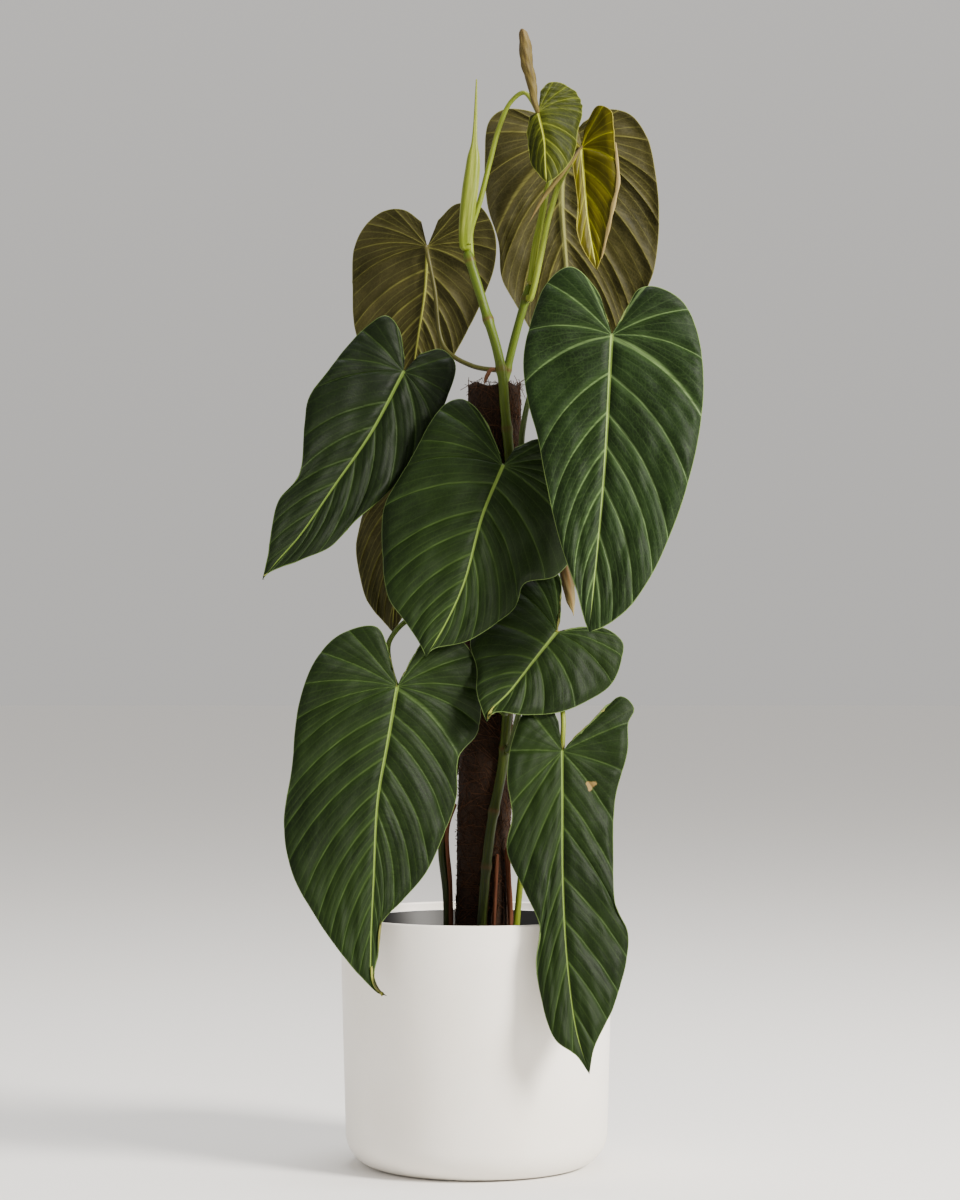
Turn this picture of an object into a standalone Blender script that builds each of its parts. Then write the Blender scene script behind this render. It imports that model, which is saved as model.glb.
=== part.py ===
"""Climbing philodendron on a coir pole, in a nursery pot inside a white cachepot.

Metres, +Z up. The origin is the centre of the cachepot's flat foot, and the plant's best side faces -Y.
Every leaf blade, leaf stalk, vine, root and withered sheath is a solid of its own. Pieces that touch
keep the small clearance GAP.
"""
from math import atan2, cos, pi, radians, sin, sqrt

import bmesh
import bpy
import numpy as np
from mathutils import Vector

GAP = 0.0003                  # clearance between pieces that touch
MM = 0.001                    # leaf outlines are written in millimetres

# Cachepot: a plain cylinder with a rounded foot
POT_HEIGHT = 0.205
POT_RIM_RADIUS = 0.1115
POT_TAPER = 0.0045            # how much slimmer the wall is just above the foot than at the rim
POT_WALL = 0.003
POT_FLOOR = 0.004
POT_FOOT_ROUNDING = 0.027
POT_SIDES = 40

# Nursery pot, which stands on the cachepot's floor
NURSERY_DROP = 0.0065         # its rim below the cachepot's rim
NURSERY_RIM_CLEARANCE = 0.0015
NURSERY_FOOT_INSET = 0.006    # its foot inside the cachepot's flat foot
NURSERY_WALL = 0.0014
NURSERY_LIP = 0.003           # how far the rim stands out from the wall
NURSERY_LIP_HEIGHT = 0.012
NURSERY_SIDES = 32
DRAIN_RADIUS = 0.006
DRAIN_CIRCLE = 0.045
DRAIN_COUNT = 4
WATERING_SPACE = 0.026        # soil below the nursery pot's rim

# Coir pole: a wooden stake in a fibre sleeve, leaning a little to the right
POLE_ABOVE_RIM = 0.432        # length above the cachepot's rim
POLE_RADIUS = 0.022
POLE_LEAN = radians(1.4)
POLE_IN_POT = 0.175           # length below the cachepot's rim
POLE_SIDES = 20
STAKE_RADIUS = 0.011
STAKE_POINT = 0.018           # pointed end below the sleeve
STAKE_INSET = 0.003           # stake's top below the sleeve's top

# Plant
VINE_RADIUS = 0.0040
SECOND_VINE_RADIUS = 0.0034
STALK_CLEARANCE = 0.0010      # between a stalk's cut-square ends and the vine or blade that it meets
BLADE_THICKNESS = 0.0012
BLADE_ROWS = 17               # steps along a margin, tip to base
BLADE_COLUMNS = 3             # steps from the midrib to a margin
FAN_SHARE = 0.56              # share of a margin, from the tip, that veins off the midrib reach
ROOT_DEPTH = 0.045            # how far vines and roots reach into the soil

NURSERY_FOOT_RADIUS = POT_RIM_RADIUS - POT_TAPER - POT_FOOT_ROUNDING - NURSERY_FOOT_INSET
NURSERY_BOTTOM = POT_FLOOR + GAP
NURSERY_TOP = POT_HEIGHT - NURSERY_DROP
SOIL_TOP = NURSERY_TOP - WATERING_SPACE
POLE_LENGTH = POLE_ABOVE_RIM + POLE_IN_POT
POLE_FOOT = POT_HEIGHT - POLE_IN_POT
RIM = POT_HEIGHT              # heights on the plant are measured up from the cachepot's rim


# ------------------------------------------------------------------------------------------------
# Materials
# ------------------------------------------------------------------------------------------------
FINISHES = {
    "white_pot": ((0.83, 0.81, 0.76), 0.35),
    "black_plastic": ((0.012, 0.012, 0.013), 0.5),
    "soil": ((0.030, 0.020, 0.013), 0.95),
    "wood": ((0.35, 0.22, 0.12), 0.7),
    "coir": ((0.085, 0.045, 0.022), 0.95),
    "vine": ((0.060, 0.115, 0.030), 0.5),
    "fresh_stalk": ((0.290, 0.370, 0.080), 0.45),
    "stalk": ((0.090, 0.130, 0.035), 0.5),
    "leaf": ((0.018, 0.055, 0.022), 0.5),
    "leaf_underside": ((0.105, 0.115, 0.050), 0.6),
    "young_leaf": ((0.170, 0.200, 0.030), 0.45),
    "withered": ((0.430, 0.300, 0.180), 0.7),
    "root": ((0.160, 0.065, 0.035), 0.8),
}


def finish(name):
    """Principled material of one finish, made once."""
    material = bpy.data.materials.get(name)
    if material is None:
        colour, roughness = FINISHES[name]
        material = bpy.data.materials.new(name)
        material.use_nodes = True
        shader = material.node_tree.nodes["Principled BSDF"]
        shader.inputs["Base Color"].default_value = (*colour, 1)
        shader.inputs["Roughness"].default_value = roughness
        shader.inputs["Metallic"].default_value = 0
        material.diffuse_color = (*colour, 1)
    return material


# ------------------------------------------------------------------------------------------------
# Building tools
# ------------------------------------------------------------------------------------------------
def add_object(name, data, material):
    """Link a mesh or curve as a named object with one material."""
    thing = bpy.data.objects.new(name, data)
    thing.data.materials.append(finish(material))
    bpy.context.scene.collection.objects.link(thing)
    return thing


def finish_mesh(bm, name, smooth=True):
    """Turn a bmesh into mesh data with its faces pointing out."""
    bmesh.ops.recalc_face_normals(bm, faces=bm.faces)
    mesh = bpy.data.meshes.new(name)
    bm.to_mesh(mesh)
    bm.free()
    if smooth:
        mesh.shade_smooth()
        mesh.set_sharp_from_angle(angle=radians(35))
    return mesh


def turned(name, profile, sides, material):
    """Solid of revolution about Z. The profile is (radius, height) points, from axis to axis or closed."""
    bm = bmesh.new()
    verts = [bm.verts.new((radius, 0, height)) for radius, height in profile]
    edges = [bm.edges.new(pair) for pair in zip(verts, verts[1:])]
    if profile[0][0] > 0:
        edges.append(bm.edges.new((verts[-1], verts[0])))
    bmesh.ops.spin(bm, geom=verts + edges, cent=(0, 0, 0), axis=(0, 0, 1), angle=2 * pi, steps=sides)
    bmesh.ops.remove_doubles(bm, verts=bm.verts, dist=1e-6)
    return add_object(name, finish_mesh(bm, name), material)


def arc(centre, radius, start, end, steps):
    """Points of an arc in the (radius, height) plane, angles in degrees."""
    angles = [radians(start + (end - start) * i / steps) for i in range(steps + 1)]
    return [(centre[0] + radius * cos(a), centre[1] + radius * sin(a)) for a in angles]


def curve_through(points, count=None, steps=8):
    """Centripetal Catmull-Rom curve through points, resampled to even steps if a count is given."""
    knots = [np.array(p, float) for p in points]
    knots = [2 * knots[0] - knots[1]] + knots + [2 * knots[-1] - knots[-2]]
    out = []
    for i in range(1, len(knots) - 2):
        p0, p1, p2, p3 = knots[i - 1:i + 3]
        t1 = sqrt(np.linalg.norm(p1 - p0))
        t2 = t1 + sqrt(np.linalg.norm(p2 - p1))
        t3 = t2 + sqrt(np.linalg.norm(p3 - p2))
        for k in range(steps):
            t = t1 + (t2 - t1) * k / steps
            a1 = p0 + (p1 - p0) * t / t1
            a2 = p1 + (p2 - p1) * (t - t1) / (t2 - t1)
            a3 = p2 + (p3 - p2) * (t - t2) / (t3 - t2)
            b1 = a1 + (a2 - a1) * t / t2
            b2 = a2 + (a3 - a2) * (t - t1) / (t3 - t1)
            out.append(b1 + (b2 - b1) * (t - t1) / (t2 - t1))
    out.append(knots[-2])
    out = np.array(out)
    return out if count is None else along(out, np.linspace(0, 1, count))


def along(line, share):
    """Points of a polyline at shares 0 to 1 of its length."""
    reach = np.concatenate([[0], np.cumsum(np.linalg.norm(np.diff(line, axis=0), axis=1))])
    reach /= reach[-1]
    return np.stack([np.interp(share, reach, line[:, axis]) for axis in range(line.shape[1])], -1)


def stem_line(route, count):
    """Even points of a smooth curve through a route, whose end steps keep the route's own directions."""
    line = curve_through(route)
    length = np.sum(np.linalg.norm(np.diff(line, axis=0), axis=1))
    first = np.linalg.norm(route[1] - route[0]) / length
    last = np.linalg.norm(route[-1] - route[-2]) / length
    return along(line, np.concatenate([[0], np.linspace(first, 1 - last, count - 2), [1]]))


def tube(name, points, radii, material, sides=6, grow=0.0):
    """Round stem through its points; the radii are spread evenly along it."""
    curve = bpy.data.curves.new(name, "CURVE")
    curve.dimensions = "3D"
    curve.bevel_depth = 1.0
    curve.bevel_resolution = sides // 2 - 2
    curve.use_fill_caps = True
    spline = curve.splines.new("POLY")
    spline.points.add(len(points) - 1)
    spread = np.interp(np.linspace(0, 1, len(points)), np.linspace(0, 1, len(radii)), radii)
    for target, point, radius in zip(spline.points, points, spread):
        target.co = (*point, 1)
        target.radius = radius + grow
    return add_object(name, curve, material)


def as_mesh(curve_object):
    """Replace a curve object with a mesh object of the same name, as a Boolean needs."""
    evaluated = curve_object.evaluated_get(bpy.context.evaluated_depsgraph_get())
    mesh = bpy.data.meshes.new_from_object(evaluated)
    name = curve_object.name
    bpy.data.objects.remove(curve_object, do_unlink=True)
    thing = bpy.data.objects.new(name, mesh)
    bpy.context.scene.collection.objects.link(thing)
    return thing


def cut(body, cutters):
    """Subtract cutters, which stay hidden in the file."""
    for cutter in cutters:
        cutter.hide_render = True
        cutter.display_type = "WIRE"
        modifier = body.modifiers.new("cut_" + cutter.name, "BOOLEAN")
        modifier.operation = "DIFFERENCE"
        modifier.object = cutter


# ------------------------------------------------------------------------------------------------
# Pots and soil
# ------------------------------------------------------------------------------------------------
def pot_outer_radius(height):
    """Cachepot's outer radius on the straight wall."""
    share = (height - POT_FOOT_ROUNDING) / (POT_HEIGHT - POT_FOOT_ROUNDING)
    return POT_RIM_RADIUS - POT_TAPER * (1 - share)


def make_cachepot():
    """One turned shell: flat foot, rounded corner, straight wall and a rounded rim."""
    lip = POT_WALL / 2
    foot = pot_outer_radius(POT_FOOT_ROUNDING) - POT_FOOT_ROUNDING
    inner_corner = POT_FOOT_ROUNDING - POT_WALL
    outer = [(0, 0)] + arc((foot, POT_FOOT_ROUNDING), POT_FOOT_ROUNDING, -90, 0, 5)
    rim = arc((POT_RIM_RADIUS - lip, POT_HEIGHT - lip), lip, 0, 180, 4)
    inner = arc((foot, POT_FLOOR + inner_corner), inner_corner, 0, -90, 4) + [(0, POT_FLOOR)]
    return turned("cachepot", outer + rim + inner, POT_SIDES, "white_pot")


def nursery_outer_radius(height):
    """Nursery pot's outer radius below its lip."""
    share = (height - NURSERY_BOTTOM) / (NURSERY_TOP - NURSERY_BOTTOM)
    top = POT_RIM_RADIUS - POT_WALL - NURSERY_RIM_CLEARANCE - NURSERY_LIP
    return NURSERY_FOOT_RADIUS + (top - NURSERY_FOOT_RADIUS) * share


def make_nursery_pot():
    """Thin tapered pot with a turned-out lip and drain holes in its floor."""
    lip_bottom = NURSERY_TOP - NURSERY_LIP_HEIGHT
    lip_radius = nursery_outer_radius(NURSERY_TOP) + NURSERY_LIP
    floor = NURSERY_BOTTOM + NURSERY_WALL
    profile = [
        (0, NURSERY_BOTTOM),
        (nursery_outer_radius(NURSERY_BOTTOM), NURSERY_BOTTOM),
        (nursery_outer_radius(lip_bottom), lip_bottom),
        (lip_radius, lip_bottom),
        (lip_radius, NURSERY_TOP),
        (nursery_outer_radius(NURSERY_TOP) - NURSERY_WALL, NURSERY_TOP),
        (nursery_outer_radius(floor) - NURSERY_WALL, floor),
        (0, floor),
    ]
    pot = turned("nursery_pot", profile, NURSERY_SIDES, "black_plastic")
    drains = []
    for i in range(DRAIN_COUNT):
        angle = 2 * pi * (i + 0.5) / DRAIN_COUNT
        half = NURSERY_WALL
        outline = [(0, -half), (DRAIN_RADIUS, -half), (DRAIN_RADIUS, half * 2), (0, half * 2)]
        drain = turned(f"drain_cutter_{i}", outline, 10, "black_plastic")
        drain.location = (DRAIN_CIRCLE * cos(angle), DRAIN_CIRCLE * sin(angle), NURSERY_BOTTOM)
        drains.append(drain)
    cut(pot, drains)


def make_soil(pockets):
    """Fill of the nursery pot, slightly higher round the pole, with a pocket for all that stands in it."""
    bottom = NURSERY_BOTTOM + NURSERY_WALL + GAP
    inset = NURSERY_WALL + GAP / cos(pi / NURSERY_SIDES)
    crown = 0.004
    edge = nursery_outer_radius(SOIL_TOP) - inset
    profile = [
        (0, bottom),
        (nursery_outer_radius(bottom) - inset, bottom),
        (edge, SOIL_TOP),
        (edge * 0.6, SOIL_TOP + crown * 0.7),
        (0, SOIL_TOP + crown),
    ]
    soil = turned("potting_soil", profile, NURSERY_SIDES, "soil")
    cut(soil, pockets)


# ------------------------------------------------------------------------------------------------
# Coir pole
# ------------------------------------------------------------------------------------------------
def pole_axis(height):
    """Point of the pole's axis at a height above the ground."""
    return np.array([(height - POLE_FOOT) * sin(POLE_LEAN) / cos(POLE_LEAN), 0, height])


def place_on_pole(piece):
    """Stand a piece that was turned about Z on the pole's leaning axis."""
    piece.location = (0, 0, POLE_FOOT)
    piece.rotation_euler = (0, POLE_LEAN, 0)
    return piece


def make_pole():
    """Fibre sleeve with a bore, the stake through it, and the pocket that they need in the soil."""
    bore = STAKE_RADIUS + GAP
    sleeve = [(bore, 0), (POLE_RADIUS, 0), (POLE_RADIUS, POLE_LENGTH), (bore, POLE_LENGTH)]
    place_on_pole(turned("coir_sleeve", sleeve, POLE_SIDES, "coir"))
    top = POLE_LENGTH - STAKE_INSET
    shaft = STAKE_RADIUS - GAP
    stake = [(0, -STAKE_POINT), (shaft, 0), (shaft, top), (0, top)]
    place_on_pole(turned("pole_stake", stake, POLE_SIDES, "wood"))
    room = [
        (0, -STAKE_POINT - 2 * GAP),
        (shaft + GAP, -2 * GAP),
        (POLE_RADIUS + GAP, -2 * GAP),
        (POLE_RADIUS + GAP, POLE_IN_POT),
        (0, POLE_IN_POT),
    ]
    return place_on_pole(turned("pole_pocket", room, POLE_SIDES, "soil"))


def beside_pole(height, degrees, radius, stand_off=0.0):
    """Centre of a stem that climbs the pole, 0 degrees at +X and -90 at the front."""
    reach = POLE_RADIUS + radius + 2 * GAP + stand_off
    return pole_axis(height) + reach * np.array([cos(radians(degrees)), sin(radians(degrees)), 0])


# ------------------------------------------------------------------------------------------------
# Leaf blades
# ------------------------------------------------------------------------------------------------
# Each blade is drawn as its front elevation in millimetres from its junction, where the stalk meets it.
# left and right are margin points from the tip up round the lobe to the sinus, and mid is the midrib from
# the junction down. FRONT is a blade whose upper side faces -Y, BACK one that shows its underside there.
# slope and yaw tilt the blade's depth by height and by width, fold_left and fold_right turn its halves
# back, arch bends it lengthways, droop bows each half back, and wave ruffles the margins.
FRONT, BACK = 1, -1
HANG = -POT_RIM_RADIUS / MM   # depth of the blades that hang in front of the cachepot
TOP = POLE_ABOVE_RIM / MM     # height of the pole's top, which the crown of the plant stands on

BLADES = {
    "top_young": dict(
        at=(50, -20, TOP + 220), faces=FRONT, slope=0.10, yaw=-0.10, fold_left=0.5, fold_right=0.25,
        droop=0.3, wave=(1.0, 3, 0.2), bow=0.0, tip=(7, -58),
        left=[(2, -53), (-6, -40), (-8, -28), (-9, -15), (-7, -3)],
        right=[(15, -53), (26, -40), (31, -26), (32, -14), (36, 1), (34, 16), (23, 24), (9, 25), (2, 18)],
        mid=[(5, -23), (6, -43)]),
    "top_bronze": dict(
        at=(86, 2, TOP + 194), faces=FRONT, slope=0.10, yaw=0.0, fold_left=-0.5, fold_right=-0.55,
        droop=0.0, wave=(0.6, 2, 0.0), bow=0.0, tip=(12, -101),
        left=[(7, -94), (-1, -80), (-4, -66), (-3, -52), (-5, -31), (-8, -10), (-9, 10), (-3, 23)],
        right=[(15, -93), (20, -72), (25, -49), (29, -30), (28, -10), (26, 15), (24, 29), (13, 34), (3, 20)],
        mid=[(2, -26), (5, -59)]),
    "top_back": dict(
        at=(76, 60, TOP + 208), faces=BACK, slope=-0.14, yaw=0.0, fold_left=-0.35, fold_right=-0.10,
        droop=0.12, wave=(2.0, 4, 0.1), bow=0.14, tip=(18, -238),
        left=[(-2, -211), (-23, -171), (-43, -136), (-55, -115), (-58, -84), (-67, -54), (-69, -17),
              (-66, 13), (-54, 23), (-32, 23), (-10, 15)],
        right=[(29, -216), (45, -176), (60, -138), (73, -107), (77, -71), (74, -29), (67, 2), (52, 21),
               (31, 25), (13, 15)],
        mid=[(-5, -38), (-1, -102), (6, -167)]),
    "upper_left_back": dict(
        at=(-41, 50, TOP + 118), faces=BACK, slope=-0.10, yaw=-0.15, fold_left=-0.12, fold_right=-0.12,
        droop=0.15, wave=(1.2, 3, 0.4), bow=0.12, tip=(-18, -152),
        left=[(-32, -129), (-50, -99), (-61, -67), (-63, -37), (-62, -2), (-53, 17), (-37, 30), (-20, 31),
              (-5, 21)],
        right=[(-2, -132), (16, -101), (32, -72), (45, -46), (56, -16), (56, 11), (43, 33), (24, 35),
               (9, 22)],
        mid=[(-2, -36), (-9, -82)]),
    "upper_left": dict(
        at=(-59, -35, 440), faces=FRONT, slope=0.16, yaw=0.18, fold_left=-0.08, fold_right=-0.10,
        droop=0.22, wave=(1.6, 4, 0.3), bow=0.12, tip=(-111, -168),
        left=[(-107, -149), (-99, -105), (-83, -84), (-79, -43), (-76, -22), (-60, 1), (-46, 20),
              (-30, 37), (-14, 46), (-3, 34), (1, 11)],
        right=[(-105, -162), (-78, -151), (-58, -142), (-38, -121), (-13, -99), (5, -76), (22, -47),
               (35, -21), (42, 7), (31, 19), (13, 15)],
        mid=[(-26, -50), (-55, -93), (-82, -133), (-101, -155)]),
    "centre": dict(
        at=(21, -65, 363), faces=FRONT, slope=0.14, yaw=0.04, fold_left=-0.05, fold_right=0.25,
        droop=0.22, wave=(2.2, 4, 0.0), bow=0.12, tip=(-61, -152),
        left=[(-67, -140), (-80, -121), (-91, -105), (-96, -71), (-95, -34), (-85, -13), (-71, 11),
              (-58, 35), (-46, 50), (-31, 54), (-15, 38), (-2, 10)],
        right=[(-55, -146), (-29, -140), (-6, -126), (10, -112), (17, -94), (42, -88), (61, -63),
               (65, -27), (52, 6), (30, 22), (10, 15)],
        mid=[(-16, -39), (-31, -94), (-45, -125)]),
    "upper_right": dict(
        at=(107, -95, 465), faces=FRONT, slope=0.15, yaw=-0.04, fold_left=-0.10, fold_right=-0.10,
        droop=0.25, wave=(1.4, 4, 0.25), bow=0.14, tip=(-19, -234),
        left=[(-22, -227), (-29, -202), (-42, -162), (-53, -114), (-59, -80), (-66, -54), (-70, -21),
              (-64, 11), (-50, 44), (-32, 55), (-12, 37), (-3, 11)],
        right=[(-8, -230), (10, -217), (29, -191), (48, -150), (61, -110), (70, -67), (72, -34), (67, 5),
               (56, 27), (34, 39), (21, 37), (12, 22), (4, 8)],
        mid=[(-7, -114)]),
    "left_back": dict(
        at=(-65, 40, 356), faces=BACK, slope=-0.12, yaw=-0.30, fold_left=0.10, fold_right=-0.15,
        droop=0.15, wave=(1.0, 3, 0.1), bow=0.10, tip=(-5, -127),
        left=[(-14, -117), (-27, -100), (-34, -75), (-36, -54), (-30, -29), (-20, -8), (-8, 3)],
        right=[(3, -115), (17, -91), (25, -62), (27, -29), (18, -4), (8, 7)],
        mid=[(-1, -67)]),
    "centre_low": dict(
        at=(64, -65, 230), faces=FRONT, slope=0.50, yaw=-0.05, fold_left=-0.02, fold_right=0.12,
        droop=0.20, wave=(2.0, 4, 0.35), bow=0.14, tip=(-56, -70),
        left=[(-59, -63), (-64, -46), (-64, -28), (-69, -10), (-65, 14), (-50, 36), (-29, 51), (-9, 55),
              (3, 45), (4, 26), (3, 9)],
        right=[(-50, -63), (-24, -65), (2, -63), (25, -54), (43, -42), (51, -25), (53, -8), (40, 3),
               (22, 5), (7, 2)],
        mid=[(-18, -22), (-38, -47), (-54, -63)]),
    "lower_left": dict(
        at=(-63, HANG + 33.5, 187), faces=FRONT, slope=0.13, yaw=0.10, fold_left=-0.10,
        fold_right=0.05, droop=0.25, wave=(2.0, 5, 0.15), bow=0.12, tip=(-7, -242),
        left=[(-14, -240), (-22, -233), (-42, -210), (-63, -181), (-82, -146), (-89, -106), (-83, -64),
              (-78, -14), (-65, 21), (-45, 42), (-17, 48), (-8, 33), (-4, 15)],
        right=[(-13, -237), (-17, -228), (-15, -210), (-12, -186), (4, -169), (23, -147), (35, -121),
               (47, -89), (49, -55), (63, -38), (67, -10), (62, 21), (46, 40), (26, 42), (12, 23), (4, 8)],
        mid=[(-7, -42), (-15, -89), (-18, -152), (-20, -206), (-19, -231), (-14, -239)]),
    "lower_right": dict(
        at=(68, HANG + 25.5, 136), faces=FRONT, slope=0.20, yaw=0.05, fold_left=-0.10,
        fold_right=0.08, droop=0.15, wave=(3.0, 3, 0.6), bow=0.02, tip=(20, -249),
        left=[(10, -235), (-7, -222), (-18, -189), (-21, -164), (-18, -137), (-30, -109), (-44, -77),
              (-40, -48), (-44, -20), (-40, 8), (-30, 31), (-13, 41), (-3, 24)],
        right=[(24, -229), (39, -199), (50, -164), (51, -140), (42, -122), (40, -85), (42, -38), (52, 0),
               (53, 22), (58, 33), (47, 43), (28, 27), (8, 9)],
        mid=[(0, -38), (0, -100), (3, -162), (10, -216)]),
}


def smooth_step(low, high, value):
    """0 below low, 1 above high, and an eased step between them."""
    share = np.clip((value - low) / (high - low), 0, 1)
    return share * share * (3 - 2 * share)


def blade_half(blade, side, rows, columns):
    """Front elevation of one half: rows follow the side veins, columns run from the midrib to the margin.

    Below FAN_SHARE of the margin a vein leaves the midrib, above it the veins fan from the junction.
    """
    margin = curve_through([blade["tip"]] + blade[side])
    midrib = curve_through([blade["tip"]] + blade["mid"][::-1] + [(0, 0)])
    share = np.linspace(0, 1, rows + 1) ** 1.3
    out = np.linspace(0, 1, columns + 1)[None, :, None]
    ends = along(margin, share)
    starts = along(midrib, np.clip(share / FAN_SHARE, 0, 1) ** 0.66)
    chord = ends - starts
    turn = -1 if side == "left" else 1
    across = turn * np.stack([-chord[:, 1], chord[:, 0]], -1)
    lift = blade["bow"] * smooth_step(0, 0.2, share) * (1 - smooth_step(0.5, 0.85, share))
    handles = (starts + ends) / 2 + across * lift[:, None]
    starts, handles, ends = starts[:, None], handles[:, None], ends[:, None]
    return (1 - out) ** 2 * starts + 2 * out * (1 - out) * handles + out ** 2 * ends, share, out


def blade_depth(blade, flat, side, share, out):
    """Depth in millimetres behind the junction, for points of the front elevation."""
    axis = np.array(blade["tip"], float)
    length = np.linalg.norm(axis)
    axis /= length
    beside = flat[..., 0] * -axis[1] + flat[..., 1] * axis[0]
    spine = curve_through([(0, 0)] + blade["mid"] + [blade["tip"]])
    down = flat @ axis
    sway = np.interp(down, spine @ axis, spine[:, 0] * -axis[1] + spine[:, 1] * axis[0])
    beside = np.abs(beside - sway)
    eased = np.sqrt(beside ** 2 + 9) - 3
    half_width = 0.3 * length
    size, count, phase = blade["wave"]
    ruffle = size * out[..., 0] ** 2 * np.sin(2 * pi * (count * share[:, None] + phase))
    ruffle = ruffle * smooth_step(0, 0.15, share)[:, None] * (1 - smooth_step(0.85, 1, share))[:, None]
    return (blade["slope"] * flat[..., 1] + blade["yaw"] * flat[..., 0] + blade["fold_" + side] * eased
            + blade["droop"] * beside ** 2 / half_width * 0.5 + ruffle)


def blade_points(blade, side, rows, columns):
    """World points of one half of a blade's middle surface."""
    flat, share, out = blade_half(blade, side, rows, columns)
    depth = blade_depth(blade, flat, side, share, out)
    local = np.stack([flat[..., 0], depth, flat[..., 1]], -1) * MM
    return local + junction(blade)


def junction(blade):
    """World point where the stalk meets the blade."""
    x, y, z = blade["at"]
    return np.array([x * MM, y * MM, z * MM + RIM])


def stalk_side(blade):
    """Unit normal at the junction, on the side that the stalk comes from."""
    normal = np.array([-blade["yaw"], 1, -blade["slope"]])
    return normal / np.linalg.norm(normal) * blade["faces"]


def make_blade(name, blade, material):
    """Closed thin solid: both halves share the midrib, and Solidify gives the thickness."""
    bm = bmesh.new()
    seen = {}

    def vertex(point):
        key = tuple(np.round(point, 6))
        if key not in seen:
            seen[key] = bm.verts.new(point)
        return seen[key]

    for side in ("left", "right"):
        points = blade_points(blade, side, BLADE_ROWS, BLADE_COLUMNS)
        grid = [[vertex(point) for point in row] for row in points]
        for lower, upper in zip(grid, grid[1:]):
            for i in range(BLADE_COLUMNS):
                ring = [lower[i], lower[i + 1], upper[i + 1], upper[i]]
                corners = list(dict.fromkeys(ring))
                if len(corners) > 2:
                    bm.faces.new(corners)
    thing = add_object(name, finish_mesh(bm, name), material)
    solidify = thing.modifiers.new("thickness", "SOLIDIFY")
    solidify.thickness = BLADE_THICKNESS
    solidify.offset = 0
    return thing


# ------------------------------------------------------------------------------------------------
# Vines, roots, stalks and sheaths
# ------------------------------------------------------------------------------------------------
def on_plant(x, y, z):
    """Point in millimetres, with its height above the cachepot's rim, as a world point."""
    return np.array([x * MM, y * MM, z * MM + RIM])


def vine_route():
    """Main vine: up the pole's front, round to its right, then free above it to the upper left."""
    climb = [(-20, -100), (63, -80), (125, -58), (245, -48), (355, -56), (TOP - 17, -72), (TOP + 2, -76)]
    route = [beside_pole(RIM + z * MM, degrees, VINE_RADIUS) for z, degrees in climb]
    route[0][2] = SOIL_TOP - ROOT_DEPTH
    route += [on_plant(17, -22, TOP + 26), on_plant(6, -15, TOP + 63), on_plant(-8, -12, TOP + 109)]
    return route


def second_vine_route():
    """Second vine: from the soil on the left, up the pole's back, then free to the upper right."""
    foot = beside_pole(RIM - 0.02, 188, SECOND_VINE_RADIUS, 0.003)
    foot[2] = SOIL_TOP - ROOT_DEPTH
    route = [foot, beside_pole(RIM + 0.01, 190, SECOND_VINE_RADIUS, 0.003)]
    route += [beside_pole(RIM + 0.06, 186, SECOND_VINE_RADIUS, 0.008)]
    climb = [(135, 150), (230, 118), (330, 90), (TOP - 27, 74), (TOP + 2, 72)]
    route += [beside_pole(RIM + z * MM, degrees, SECOND_VINE_RADIUS) for z, degrees in climb]
    route += [on_plant(28, 23, TOP + 26), on_plant(35, 19, TOP + 53), on_plant(44, 18, TOP + 84)]
    return route


def nearest(route, height):
    """Point of a route at a height."""
    line = curve_through(route)
    order = np.argsort(line[:, 2])
    return np.array([np.interp(height, line[order, 2], line[order, axis]) for axis in range(3)])


def leave_vine(stem, radius, height, degrees):
    """First two points of a piece that leaves a vine level, square to its side."""
    toward = np.array([cos(radians(degrees)), sin(radians(degrees)), 0])
    first = nearest(stem, RIM + height * MM) + toward * (radius + STALK_CLEARANCE)
    return [first, first + toward * 0.003]


def leave_tip(stem):
    """First two points of a piece that goes on from a vine's end."""
    toward = (stem[-1] - stem[-2]) / np.linalg.norm(stem[-1] - stem[-2])
    first = stem[-1] + toward * STALK_CLEARANCE
    return [first, first + toward * 0.003]


def meet_blade(blade):
    """Last two points of a stalk, square on to its blade at the junction."""
    normal = stalk_side(blade)
    stop = junction(blade) + normal * (BLADE_THICKNESS / 2 + STALK_CLEARANCE)
    return [stop + normal * 0.004, stop]


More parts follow.
